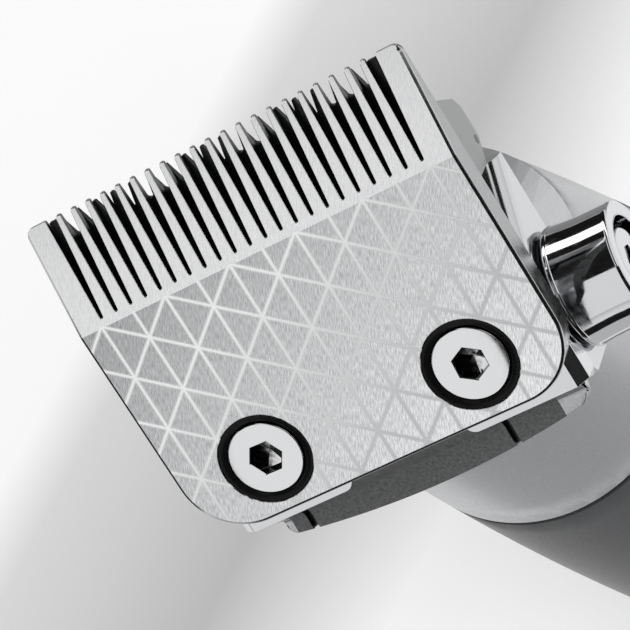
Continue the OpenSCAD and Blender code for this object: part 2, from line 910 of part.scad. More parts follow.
module neck_shell() {
    boss_d = 4.6;
    color("#b4b4b4")
        difference() {
            union() {
                difference() {
                    neck_solid(0, 0);
                    neck_solid(wall, 0.2);
                }
                intersection() {
                    neck_solid(0, 0);
                    in_blade()
                        both_sides()
                            translate([head_screw_x, -head_screw_v, -head_m - head_boss])
                                cylinder(d = boss_d, h = head_boss);
                }
            }
            in_blade()
                both_sides()
                    translate([head_screw_x, -head_screw_v, -head_m - head_boss + boss_floor])
                        cylinder(d = head_screw_d + 2 * seat_gap, h = head_boss);
        }
}

module front_barrel() {
    z0 = seam_z + seal_t / 2;
    spigot_r = grip_at(seam_z) - wall - open_gap;
    color("#b4b4b4")
        difference() {
            union() {
                grip_tube(z0, neck_z);
                translate([0, 0, z0])
                    cylinder(r = grip_at(seam_z) - wall / 2, h = wall);
                translate([0, 0, z0 - spigot_len])
                    cylinder(r = spigot_r, h = spigot_len + cut);
            }
            translate([0, 0, z0 - spigot_len - cut])
                cylinder(r = neck_r - wall, h = spigot_len + neck_z - z0 + 2 * cut);
        }
}

// Dark gasket in the seam, set a little below the surface
module barrel_seal() {
    sink = 0.25;
    inner_r = grip_at(seam_z) - wall;
    color("#1c1c1c")
        translate([0, 0, seam_z - seal_t / 2])
            difference() {
                cylinder(r = grip_at(seam_z) - sink, h = seal_t);
                translate([0, 0, -cut])
                    cylinder(r = inner_r, h = seal_t + 2 * cut);
            }
}

// Power button group, on the back of the grip
board_y = 12;
board_t = 1.6;
board_w = 21;
board_face = board_y + board_t;
saddle_t = 2;
cell_lift = 4.7;
cell_z0 = tail_h + cell_lift;
cell_z1 = cell_z0 + cell_len;
board_rise = 9;
board_z0 = cell_z0 + board_rise;
board_over = 3.5;
board_z1 = cell_z1 + board_over;
button_drop = 14;
button_z = board_z1 - button_drop;
button_surface = grip_at(button_z);
button_proud = 0.6;
bezel_w = 1.7;
bezel_proud = 0.3;
bezel_sink = 1.4;
led_drop = 12;
led_z = button_z - led_drop;
pipe_d = 2.2;
switch_w = 6.2;
switch_h = 2.8;
plunger_d = 3.2;
plunger_in = 1.2;
flange_y0 = board_face + switch_h + button_travel + open_gap;
flange_t = 0.9;
flange_w = 1.1;

module grip_sleeve() {
    color("#303030")
        difference() {
            grip_tube(tail_h, seam_z - seal_t / 2);
            translate([0, 0, button_z]) {
                rod_y(0, grip_d, button_d + 2 * slide_gap);
                rod_y(button_surface - bezel_sink, grip_d, button_d + 2 * bezel_w + 2 * seat_gap);
            }
            translate([0, 0, led_z])
                rod_y(0, grip_d, pipe_d + 2 * seat_gap);
        }
}

module power_button() {
    dish_r = 14;
    dish_deep = 0.5;
    top_y = button_surface + button_proud;
    color("silver")
        translate([0, 0, button_z])
            difference() {
                union() {
                    rod_y(flange_y0, flange_y0 + flange_t, button_d + 2 * flange_w);
                    rod_y(flange_y0, top_y, button_d);
                }
                translate([0, top_y + dish_r - dish_deep, 0])
                    sphere(dish_r);
            }
}

module button_bezel() {
    y0 = button_surface - bezel_sink;
    color("gainsboro")
        translate([0, 0, button_z])
            difference() {
                rod_y(y0, button_surface + bezel_proud, button_d + 2 * bezel_w);
                rod_y(y0 - cut, grip_d, button_d + 2 * slide_gap);
            }
}

module tact_switch() {
    color("#2a2a2a")
        difference() {
            translate([-switch_w / 2, board_face, button_z - switch_w / 2])
                cube([switch_w, switch_h, switch_w]);
            translate([0, 0, button_z])
                rod_y(board_face + switch_h - plunger_in - button_travel - slide_gap, grip_r,
                    plunger_d + 2 * run_gap);
        }
}

module switch_plunger() {
    color("ivory")
        translate([0, 0, button_z])
            rod_y(board_face + switch_h - plunger_in, flange_y0, plunger_d);
}

led_h = 0.8;

module status_led() {
    led_w = 1.6;
    color("white")
        translate([-led_w / 2, board_face, led_z - led_w / 2])
            cube([led_w, led_h, led_w]);
}

module light_pipe() {
    color("lightblue")
        translate([0, 0, led_z])
            rod_y(board_face + led_h + slide_gap, grip_at(led_z) - run_gap, pipe_d);
}

// Tail cap with its screws, charging socket and charging contacts
tail_r = grip_at(tail_h);
tail_floor = 2.6;
tail_rim = 3.6;
tail_screw_y = 13;
tail_screw_d = 2.6;
tail_screw_head_d = 4.6;
tail_screw_head_t = 1.8;
tail_screw_sink = 1;
tail_boss_d = 6.4;
socket_d = 8;
socket_h = 11;
socket_sink = 0.6;
socket_floor = 2;
contact_x = 10;
contact_d = 4.4;
contact_t = 3.4;
contact_sink = 0.15;

module tail_cap() {
    rim_r = tail_r - wall - open_gap;
    color("#b4b4b4")
        difference() {
            union() {
                rotate_extrude()
                    difference() {
                        union() {
                            square([tail_r - tail_round, tail_h]);
                            translate([0, tail_round])
                                square([tail_r, tail_h - tail_round]);
                            intersection() {
                                translate([tail_r - tail_round, tail_round])
                                    circle(tail_round);
                                square([tail_r, tail_h]);
                            }
                        }
                        translate([0, tail_floor])
                            square([rim_r - wall, tail_h]);
                    }
                difference() {
                    translate([0, 0, tail_h - cut])
                        cylinder(r = rim_r, h = tail_rim + cut);
                    translate([0, 0, tail_floor])
                        cylinder(r = rim_r - wall, h = tail_h + tail_rim);
                }
                for (side = [-1, 1])
                    translate([0, side * tail_screw_y, tail_floor - cut])
                        cylinder(d = tail_boss_d, h = tail_h - tail_floor + cut);
            }
            translate([0, 0, -cut])
                cylinder(d = socket_d + 2 * seat_gap, h = tail_h);
            for (side = [-1, 1]) {
                translate([0, side * tail_screw_y, -cut]) {
                    cylinder(d = tail_screw_d + 2 * slide_gap, h = 2 * tail_h);
                    cylinder(d = tail_screw_head_d + 2 * slide_gap, h = cut + tail_screw_sink + tail_screw_head_t);
                }
                translate([side * contact_x, 0, -cut])
                    cylinder(d = contact_d + 2 * seat_gap, h = tail_h);
            }
        }
}

chassis_z0 = tail_h + run_gap;
chassis_floor = 2.4;
rail_x = motor_d / 2 + open_gap;
rail_w = 2;
rail_half = 4;
top_plate_t = 2.2;
top_plate_z = neck_z - top_plate_t;
motor_z1 = top_plate_z;
motor_z0 = motor_z1 - motor_len;
cell_y = -4;

module tail_screws() {
    z0 = tail_screw_sink;
    color("#202020")
        for (side = [-1, 1])
            translate([0, side * tail_screw_y, 0]) {
                translate([0, 0, z0])
                    cylinder(d = tail_screw_head_d, h = tail_screw_head_t);
                translate([0, 0, z0])
                    cylinder(d = tail_screw_d, h = chassis_z0 + chassis_floor - z0);
            }
}

module charging_socket() {
    color("#181818")
        difference() {
            translate([0, 0, socket_sink])
                cylinder(d = socket_d, h = socket_h - socket_sink);
            translate([0, 0, socket_sink - cut])
                cylinder(d = socket_bore_d, h = socket_h - socket_floor - socket_sink + cut);
        }
}

module charge_contacts() {
    color("gold")
        for (side = [-1, 1])
            translate([side * contact_x, 0, contact_sink])
                cylinder(d = contact_d, h = contact_t);
}

// Chassis: floor, two rails and a top plate, with two saddles for the battery cell
module chassis() {
    floor_r = tail_r - 2 * wall - 2 * open_gap;
    lead_w = 1.6;
    saddle_low = 3;
    saddle_high = 8;
    bearing_room = 1;
    color("#4a4a4a")
        difference() {
            union() {
                translate([0, 0, chassis_z0])
                    cylinder(r = floor_r, h = chassis_floor);
                translate([0, 0, top_plate_z])
                    cylinder(r = neck_r - wall - slide_gap, h = top_plate_t);
                both_sides()
                    translate([rail_x, -rail_half, chassis_z0 + cut])
                        cube([rail_w, 2 * rail_half, top_plate_z - chassis_z0]);
                for (z = [cell_z0 + saddle_low, cell_z1 - saddle_high])
                    translate([-rail_x - cut, cell_y - cell_d / 2, z])
                        cube([2 * rail_x + 2 * cut, board_y - slide_gap - cell_y + cell_d / 2, saddle_t]);
            }
            translate([0, cell_y, chassis_z0 + chassis_floor])
                cylinder(d = cell_d + 2 * slide_gap, h = cell_z1 - chassis_z0);
            translate([0, 0, chassis_z0 - cut])
                cylinder(d = socket_d + 2 * slide_gap, h = chassis_floor + 2 * cut);
            for (side = [-1, 1])
                translate([0, side * tail_screw_y, chassis_z0 - cut])
                    cylinder(d = tail_screw_d + 2 * seat_gap, h = chassis_floor + 2 * cut);
            translate([0, 0, top_plate_z - cut])
                cylinder(d = bearing_d + 2 * bearing_room, h = top_plate_t + 2 * cut);
            both_sides()
                translate([motor_screw_x, 0, top_plate_z - cut])
                    cylinder(d = motor_screw_d + 2 * slide_gap, h = top_plate_t + 2 * cut);
            translate([lead_x - lead_w / 2, lead_y - lead_w / 2, cell_z0])
                cube([lead_w, board_y, cell_len / 2]);
        }
}

// Swing motor: the rotor rocks to and fro and its crank pin drives the yoke
can_t = 0.8;
motor_floor = 3;
end_plate_t = 2;
bearing_d = 8;
bearing_h = 3;
motor_screw_x = 9.5;
motor_screw_d = 2;
winding_h = 3.2;
winding_room = 0.8;
core_z0 = motor_z0 + motor_floor + winding_room + winding_h;
core_z1 = motor_z1 - bearing_h - 2 * winding_room - winding_h;
core_bore_d = 16.8;
crank_rise = 2.8;
crank_z0 = neck_z + crank_rise;
crank_t = 4.2;
crank_top = plane_z(crank_r + crank_pin_d / 2, cutter_low_m + open_gap);

module motor_can() {
    color("lightgray")
        difference() {
            translate([0, 0, motor_z0])
                cylinder(d = motor_d, h = motor_len - end_plate_t);
            translate([0, 0, motor_z0 + motor_floor])
                cylinder(d = motor_d - 2 * can_t, h = motor_len);
            translate([0, 0, motor_z0 - cut])
                cylinder(d = bearing_d + 2 * seat_gap, h = motor_len);
        }
}

module motor_end_plate() {
    color("gray")
        difference() {
            translate([0, 0, motor_z1 - end_plate_t])
                cylinder(d = motor_d, h = end_plate_t);
            translate([0, 0, motor_z1 - end_plate_t - cut])
                cylinder(d = bearing_d + 2 * seat_gap, h = end_plate_t + 2 * cut);
            both_sides()
                translate([motor_screw_x, 0, motor_z1 - end_plate_t - cut])
                    cylinder(d = motor_screw_d + 2 * seat_gap, h = end_plate_t + 2 * cut);
        }
}

module motor_screws() {
    head_d = 3.8;
    head_t = 1.2;
    color("dimgray")
        both_sides()
            translate([motor_screw_x, 0, 0]) {
                translate([0, 0, neck_z + seat_gap])
                    cylinder(d = head_d, h = head_t);
                translate([0, 0, motor_z1 - end_plate_t + slide_gap])
                    cylinder(d = motor_screw_d, h = end_plate_t + top_plate_t);
            }
}

module stator_core() {
    color("slategray")
        translate([0, 0, core_z0])
            difference() {
                cylinder(d = motor_d - 2 * can_t - 2 * seat_gap, h = core_z1 - core_z0);
                translate([0, 0, -cut])
                    cylinder(d = core_bore_d, h = motor_len);
            }
}

module stator_windings() {
    color("chocolate")
        for (z = [core_z0 - winding_h - seat_gap, core_z1 + seat_gap])
            translate([0, 0, z])
                difference() {
                    cylinder(d = motor_d - 2 * can_t - 2 * open_gap, h = winding_h);
                    translate([0, 0, -cut])
                        cylinder(d = core_bore_d, h = winding_h + 2 * cut);
                }
}

// Ball bearing taken as one ring
module bearing(z0) {
    color("gainsboro")
        translate([0, 0, z0])
            difference() {
                cylinder(d = bearing_d, h = bearing_h);
                translate([0, 0, -cut])
                    cylinder(d = rotor_shaft_d + 2 * run_gap, h = bearing_h + 2 * cut);
            }
}

module rear_bearing() {
    bearing(motor_z0);
}

module front_bearing() {
    bearing(motor_z1 - bearing_h);
}

module rotor_shaft() {
    z0 = motor_z0 + slide_gap;
    color("silver")
        translate([0, 0, z0])
            cylinder(d = rotor_shaft_d, h = crank_z0 + crank_t - z0);
}

module rotor_magnet() {
    air = 0.5;
    color("#505860")
        translate([0, 0, core_z0 + air])
            difference() {
                cylinder(d = core_bore_d - 2 * air, h = core_z1 - core_z0 - 2 * air);
                translate([0, 0, -cut])
                    cylinder(d = rotor_shaft_d + 2 * seat_gap, h = motor_len);
            }
}

module drive_crank() {
    hub_wall = 2;
    eye_wall = 1.3;
    hub = rotor_shaft_d + 2 * hub_wall;
    eye = crank_pin_d + 2 * eye_wall;
    color("dimgray")
        translate([0, 0, crank_z0])
            linear_extrude(crank_t)
                difference() {
                    union() {
                        circle(d = hub);
                        translate([0, -crank_r])
                            circle(d = eye);
                        translate([-eye / 2, -crank_r])
                            square([eye, crank_r]);
                    }
                    circle(d = rotor_shaft_d + 2 * seat_gap);
                    translate([0, -crank_r])
                        circle(d = crank_pin_d + 2 * seat_gap);
                }
}

module crank_pin() {
    floor = 0.4;
    z0 = crank_z0 + floor;
    color("gainsboro")
        translate([0, -crank_r, z0])
            cylinder(d = crank_pin_d, h = crank_top - z0);
}

// Battery cell, its welded tabs and its leads
tab_t = 0.3;
lead_d = 1.1;
lead_x = -2;
lead_y = board_y - lead_d / 2 - run_gap;

module battery_cell() {
    color("steelblue")
        translate([0, cell_y, cell_z0])
            cylinder(d = cell_d, h = cell_len);
}

module battery_tabs() {
    tab_w = 6;
    color("silver")
        for (z = [cell_z0 - tab_t, cell_z1])
            translate([-tab_w / 2, cell_y - tab_w / 2, z])
                cube([tab_w, tab_w, tab_t]);
}

module battery_leads() {
    low_z = cell_z0 - tab_t - lead_d / 2 - run_gap;
    high_z = cell_z1 + tab_t + lead_d / 2 + run_gap;
    color("firebrick") {
        translate([lead_x, 0, low_z])
            rod_y(cell_y, lead_y, lead_d);
        translate([lead_x, lead_y, low_z])
            sphere(d = lead_d);
        translate([lead_x, lead_y, low_z])
            cylinder(d = lead_d, h = board_z0 + lead_d - low_z);
        translate([-lead_x, 0, high_z])
            rod_y(cell_y, board_y - run_gap, lead_d);
    }
}

module circuit_board() {
    color("darkgreen")
        translate([-board_w / 2, board_y, board_z0])
            cube([board_w, board_t, board_z1 - board_z0]);
}

// Charge controller, motor driver and a capacitor on the board
module board_components() {
    chip_h = 1.2;
    charger_w = 6;
    driver_w = 5;
    driver_l = 7;
    capacitor_d = 4;
    capacitor_h = 3;
    chip_x = board_w / 6;
    color("#141414") {
        translate([-chip_x - charger_w / 2, board_face, board_z0 + charger_w])
            cube([charger_w, chip_h, charger_w]);
        translate([chip_x - driver_w / 2, board_face, board_z0 + 2 * driver_l])
            cube([driver_w, chip_h, driver_l]);
        translate([chip_x + capacitor_d / 2, 0, board_z0 + capacitor_d])
            rod_y(board_face, board_face + capacitor_h, capacitor_d);
    }
}

module motor_leads() {
    lead_side = 4;
    lead_in = 4;
    color("black")
        both_sides()
            translate([lead_side, lead_y, board_z1 - lead_in])
                cylinder(d = lead_d, h = motor_z0 - run_gap - board_z1 + lead_in);
}

comb_blade();
cup_rings();
blade_screws();
taper_plate();
cutter_blade();
cutter_carrier();
carrier_pins();
tension_springs();
head_frame();
guide_pins();
head_screws();
chin_insert();
nose_cover();
nose_screws();
lever_bush();
lever_washer();
lever_shaft();
taper_lever();
lever_screw();
neck_shell();
front_barrel();
barrel_seal();
grip_sleeve();
tail_cap();
tail_screws();
charging_socket();
charge_contacts();
chassis();
motor_can();
motor_end_plate();
motor_screws();
stator_core();
stator_windings();
rear_bearing();
front_bearing();
rotor_shaft();
rotor_magnet();
drive_crank();
crank_pin();
battery_cell();
battery_tabs();
battery_leads();
circuit_board();
board_components();
tact_switch();
switch_plunger();
power_button();
button_bezel();
status_led();
light_pipe();
motor_leads();
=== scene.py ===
import math

import bmesh
import bpy
from mathutils import Euler, Matrix, Vector


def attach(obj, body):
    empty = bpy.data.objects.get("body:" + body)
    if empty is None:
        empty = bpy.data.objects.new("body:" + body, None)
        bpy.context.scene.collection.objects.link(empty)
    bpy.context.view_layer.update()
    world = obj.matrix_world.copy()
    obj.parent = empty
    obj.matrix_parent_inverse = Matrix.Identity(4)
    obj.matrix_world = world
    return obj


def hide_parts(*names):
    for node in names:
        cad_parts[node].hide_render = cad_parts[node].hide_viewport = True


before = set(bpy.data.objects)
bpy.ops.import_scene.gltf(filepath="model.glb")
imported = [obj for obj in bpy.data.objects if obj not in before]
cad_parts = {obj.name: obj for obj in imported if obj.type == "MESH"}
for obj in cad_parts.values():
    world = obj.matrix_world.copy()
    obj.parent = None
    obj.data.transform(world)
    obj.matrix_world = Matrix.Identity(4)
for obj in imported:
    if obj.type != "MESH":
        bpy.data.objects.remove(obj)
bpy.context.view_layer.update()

# Swing motor: a drawn steel can with a laminated core, copper coil ends, a magnet rotor and a crank.
# It stands on the chassis, held by screws through the top plate. The pins and screws of the head are
# made as its small parts are, turned from steel and zinc plated.
MM = 0.001
WELD_MM = 0.0005
EDGE_ANGLE = math.radians(35)
NOISE_RANGE = (0.3, 0.7)
# Sockets of a Mix node that mixes colours: both colours in, and the mixed one out.
MIX_A, MIX_B, MIX_OUT = 6, 7, 2


def linear(hex_colour):
    """Linear red, green, blue and alpha of an sRGB hex colour."""
    channels = [int(hex_colour[i:i + 2], 16) / 255 for i in (1, 3, 5)]
    return [c / 12.92 if c <= 0.04045 else ((c + 0.055) / 1.055) ** 2.4 for c in channels] + [1.0]


def add(tree, kind, inputs=None, **settings):
    """Adds a node, sets its properties, and fills or links its inputs."""
    node = tree.nodes.new(kind)
    for name, value in settings.items():
        setattr(node, name, value)
    for socket, value in (inputs or {}).items():
        if isinstance(value, bpy.types.NodeSocket):
            tree.links.new(value, node.inputs[socket])
        else:
            node.inputs[socket].default_value = value
    return node


def new_material(name, colour, metallic, roughness):
    """A material with one shader; returns the material, its tree and its shader."""
    material = bpy.data.materials.new(name)
    material.use_nodes = True
    shader = material.node_tree.nodes["Principled BSDF"]
    shader.inputs["Base Color"].default_value = linear(colour)
    shader.inputs["Metallic"].default_value = metallic
    shader.inputs["Roughness"].default_value = roughness
    return material, material.node_tree, shader


def grain(material, size_mm, roughness_range, bump_mm, colours=None, stretch=(1, 1, 1)):
    """Breaks up a surface: noise of a real size drives roughness, height and, if given, two colours."""
    tree = material.node_tree
    shader = tree.nodes["Principled BSDF"]
    place = add(tree, "ShaderNodeTexCoord")
    scale = [s / (size_mm * MM) for s in stretch]
    spread = add(tree, "ShaderNodeMapping", {"Vector": place.outputs["Object"], "Scale": scale})
    noise = add(tree, "ShaderNodeTexNoise", {
        "Vector": spread.outputs["Vector"], "Scale": 1.0, "Detail": 4.0})
    rough = add(tree, "ShaderNodeMapRange", {
        "Value": noise.outputs["Fac"], "From Min": NOISE_RANGE[0], "From Max": NOISE_RANGE[1],
        "To Min": roughness_range[0], "To Max": roughness_range[1]})
    tree.links.new(rough.outputs["Result"], shader.inputs["Roughness"])
    height = add(tree, "ShaderNodeBump", {
        "Height": noise.outputs["Fac"], "Distance": bump_mm * MM, "Strength": 1.0})
    tree.links.new(height.outputs["Normal"], shader.inputs["Normal"])
    if colours:
        tone = add(tree, "ShaderNodeMix", {
            "Factor": noise.outputs["Fac"], MIX_A: linear(colours[0]), MIX_B: linear(colours[1])},
            data_type="RGBA")
        tree.links.new(tone.outputs[MIX_OUT], shader.inputs["Base Color"])


def soften(piece, edge_mm):
    """Breaks the sharp edges of a piece by a small radius."""
    weld = piece.modifiers.new("weld", "WELD")
    weld.merge_threshold = WELD_MM * MM
    edge = piece.modifiers.new("edge", "BEVEL")
    edge.width = edge_mm * MM
    edge.segments = 2
    edge.limit_method = "ANGLE"
    edge.angle_limit = EDGE_ANGLE
    edge.harden_normals = True


def dress(node, material, edge_mm):
    """Gives a solid its material and soft edges."""
    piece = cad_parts[node]
    for slot in piece.material_slots:
        slot.material = material
    soften(piece, edge_mm)
    return piece


# Zinc-plated steel: bright grey with a faint cloudy bloom.
zinc_plate, _, _ = new_material("zinc_plated_steel", "#B4B5B7", 1.0, 0.32)
grain(zinc_plate, 1.5, (0.26, 0.42), 0.002)
for node in ("motor_can", "motor_end_plate", "motor_screws", "rear_bearing", "front_bearing", "rotor_shaft",
             "drive_crank", "crank_pin", "carrier_pins", "guide_pins", "head_screws", "lever_shaft"):
    dress(node, zinc_plate, 0.08)

# Laminated electrical steel and the nickelled magnet: dull dark grey, lined across the stack.
core_steel, _, _ = new_material("laminated_core_steel", "#5B5D60", 1.0, 0.5)
grain(core_steel, 0.5, (0.4, 0.6), 0.01, stretch=(0.02, 0.02, 1))
for node in ("stator_core", "rotor_magnet"):
    dress(node, core_steel, 0.1)

# Enamelled copper wire: warm and glossy, with the rounds of the winding in its shine.
copper_wire, _, _ = new_material("enamelled_copper", "#A8603A", 1.0, 0.3)
grain(copper_wire, 0.4, (0.22, 0.4), 0.05, stretch=(0.1, 0.1, 1))
dress("stator_windings", copper_wire, 0.4)

# Chassis: a moulded nylon frame that holds motor, battery and board between its floor and top plate.
# The cutter's yoke, the lever's friction washer and the charging socket are moulded from the same nylon.
# Moulded nylon: near black, with a fine even grain that keeps its shine soft.
moulded_black, _, _ = new_material("moulded_black_nylon", "#26272A", 0.0, 0.5)
grain(moulded_black, 0.3, (0.42, 0.58), 0.01)
for node in ("chassis", "cutter_carrier", "lever_washer", "charging_socket"):
    dress(node, moulded_black, 0.15)

# Battery: one round lithium cell in shrink film, clipped into the chassis saddles.
# Rolled strips are welded to its ends, and silicone-insulated leads run from them to the board.
# Shrink film: blue, smooth and glossy, with slow ripples where it was drawn tight.
shrink_film, _, _ = new_material("shrink_film", "#2C4E8C", 0.0, 0.3)
grain(shrink_film, 6, (0.22, 0.36), 0.02)
dress("battery_cell", shrink_film, 0.5)

# Rolled strip steel, also of the leaf springs at the cutter: bright, with fine lines along the strip.
rolled_steel, _, _ = new_material("rolled_spring_steel", "#A9ABAE", 1.0, 0.3)
grain(rolled_steel, 0.3, (0.22, 0.4), 0.004, stretch=(1, 0.05, 0.05))
for node in ("battery_tabs", "tension_springs"):
    dress(node, rolled_steel, 0.05)

# Silicone insulation: dull red with a soft, slightly uneven sheen.
lead_insulation, _, _ = new_material("silicone_insulation", "#8E1F1C", 0.0, 0.45)
grain(lead_insulation, 0.4, (0.4, 0.5), 0.005)
for node in ("battery_leads", "motor_leads"):
    dress(node, lead_insulation, 0.05)

# Circuit board: glass fibre under solder mask, set into the chassis in front of the button.
# It carries moulded packages, the push switch with its plunger, and a lamp under a clear rod.
# Solder mask: green, smooth and glossy, cloudy where the weave lies below.
solder_mask, _, _ = new_material("solder_mask", "#1F5A33", 0.0, 0.3)
grain(solder_mask, 1.2, (0.24, 0.4), 0.01, ("#1B5230", "#256A3D"))
dress("circuit_board", solder_mask, 0.1)

# Moulded epoxy packages: black and dull, with the grain of their filler.
package_black, _, _ = new_material("moulded_package", "#1B1B1C", 0.0, 0.55)
grain(package_black, 0.2, (0.48, 0.62), 0.006)
for node in ("board_components", "tact_switch"):
    dress(node, package_black, 0.1)

# Moulded acetal: ivory white and waxy.
ivory_plastic, _, _ = new_material("ivory_acetal", "#E2DCCB", 0.0, 0.4)
grain(ivory_plastic, 0.4, (0.35, 0.48), 0.004)
for node in ("switch_plunger", "status_led"):
    dress(node, ivory_plastic, 0.1)

# Polished acrylic rod: clear, with a bright edge.
clear_rod, _, shader = new_material("clear_acrylic", "#F4F6F8", 0.0, 0.08)
shader.inputs["Transmission Weight"].default_value = 0.9
shader.inputs["IOR"].default_value = 1.49
grain(clear_rod, 2, (0.05, 0.14), 0.002)
dress("light_pipe", clear_rod, 0.1)

# Tail cap, barrel, neck and button: turned and pressed aluminium, bead blasted and anodised silver.
# The shells close the handle at both ends of the grip, and the button sits in its back.
# Anodised aluminium: soft silver grey whose highlights spread out, with the grit of the blasting.
anodised, _, _ = new_material("bead_blasted_anodised_aluminium", "#B0B1B3", 1.0, 0.3)
grain(anodised, 0.25, (0.26, 0.34), 0.004)
for node in ("tail_cap", "front_barrel", "neck_shell", "power_button"):
    dress(node, anodised, 0.25)

# Seam gasket: a moulded rubber ring, pressed between grip and barrel.
# It sits a little below the surface, so that the seam reads as one thin dark line.
# Moulded rubber: black and quite without shine.
gasket_rubber, _, _ = new_material("moulded_rubber", "#1A1A1B", 0.0, 0.7)
grain(gasket_rubber, 0.3, (0.62, 0.78), 0.01)
dress("barrel_seal", gasket_rubber, 0.1)

# Grip sleeve: a moulded polycarbonate tube with a soft-touch coat, slid over the chassis from the tail.
# The tail cap holds it against the gasket.
# Soft-touch coat: dark grey and velvety, paler where it turns away from the eye.
soft_touch, _, shader = new_material("soft_touch_polycarbonate", "#3E3F41", 0.0, 0.55)
shader.inputs["Sheen Weight"].default_value = 0.22
shader.inputs["Sheen Roughness"].default_value = 0.3
grain(soft_touch, 0.35, (0.48, 0.62), 0.012, ("#393A3C", "#434446"))
dress("grip_sleeve", soft_touch, 0.25)

# Tail and nose fittings: blackened steel screws in the tail cap and at the sides of the nose.
# Two gold-plated contacts stand beside the charging socket.
# Black oxide: deep black with a smooth, narrow shine.
black_oxide, _, _ = new_material("black_oxide_steel", "#0C0C0D", 0.0, 0.2)
grain(black_oxide, 0.5, (0.14, 0.26), 0.002)
for node in ("tail_screws", "nose_screws"):
    dress(node, black_oxide, 0.12)

# Gold plate: warm yellow and bright, slightly clouded.
gold_plate, _, _ = new_material("gold_plate", "#D8B060", 1.0, 0.25)
grain(gold_plate, 0.8, (0.2, 0.34), 0.002)
dress("charge_contacts", gold_plate, 0.2)

# Head frame: a die-cast zinc wedge, ground and polished on its outer faces, screwed to the neck.
# The front of its chin is a sloped ledge. The casting itself shows only as a small round tongue at each
# end of that ledge; the dark insert lies between them.
HEAD_HALF_MM = 21
HEAD_FRONT_MM = -21.65
CORNER_CUT_MM = 1.0
HEAD_EDGE_MM = 0.35
CAST_SHARP_DEG = 30
FLAT_ANGLE = math.radians(0.5)
LEDGE_BACK_MM = -21.62
LEDGE_WALL_MM = (-21.75, 142.9)
LEDGE_LIP_MM = (-24.1, 137.3)
LEDGE_BOW = 0.0034
LEDGE_SLOPE = math.radians(43)
LEDGE_DROP_MM = 1.3
LEDGE_UNDERCUT_MM = 0.75
HOLLOW_MM = 1.3
LIP_ROUND_MM = 0.25
LIP_TURN = math.radians(115)
LIP_MIDDLE = (0.9, 0.1)
ARC_STEPS = 6
# Each tongue: where it starts and ends across, and the radius of its round end.
TONGUES_MM = ((-17.6, -18.4, 0.8), (15.7, 19.2, 1.6))
TONGUE_STEPS = 16
# Polished zinc: bright grey, near a mirror, with hair-fine lines from the belt.
polished_zinc, _, _ = new_material("polished_die_cast_zinc", "#C9CACC", 1.0, 0.2)
grain(polished_zinc, 0.12, (0.13, 0.18), 0.0002, stretch=(1, 0.03, 0.03))
# As-cast zinc: duller and darker than the polished faces, with a soft sheen.
cast_zinc, _, _ = new_material("as_cast_zinc", "#BEBFC1", 1.0, 0.3)
grain(cast_zinc, 0.3, (0.26, 0.36), 0.002)


def sharp_by_angle(bm, degrees):
    """Smooth faces with a hard line wherever two of them meet at more than an angle."""
    for face in bm.faces:
        face.smooth = True
    for edge in bm.edges:
        edge.smooth = edge.is_manifold and edge.calc_face_angle() < math.radians(degrees)


def with_mesh(bm, name, materials):
    """A new object with a finished mesh and its materials."""
    made = bpy.data.objects.new(name, bpy.data.meshes.new(name))
    bpy.context.collection.objects.link(made)
    bm.to_mesh(made.data)
    bm.free()
    for material in materials:
        made.data.materials.append(material)
    return made


def finished(bm, name, materials, node, body):
    """Turns a mesh into a piece that stands for a CAD node and moves with its body."""
    piece = with_mesh(bm, name, materials)
    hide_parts(node)
    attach(piece, body)
    return piece


def solid_in(node, matrix):
    """The mesh of a solid as whole faces, in millimetres, in the frame that a matrix leads to."""
    bm = bmesh.new()
    bm.from_mesh(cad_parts[node].data)
    bmesh.ops.transform(bm, matrix=matrix, verts=bm.verts)
    bmesh.ops.remove_doubles(bm, verts=bm.verts, dist=WELD_MM)
    bmesh.ops.dissolve_limit(bm, angle_limit=FLAT_ANGLE, verts=bm.verts, edges=bm.edges)
    return bm


def loft(bm, rings):
    """Skins a row of sections that have the same number of points."""
    rings = [[bm.verts.new(point) for point in ring] for ring in rings]
    made = [bm.faces.new(rings[0]), bm.faces.new(rings[-1])]
    for low, high in zip(rings, rings[1:]):
        made += [bm.faces.new((low[k - 1], low[k], high[k], high[k - 1])) for k in range(len(low))]
    bmesh.ops.recalc_face_normals(bm, faces=made)
    return made


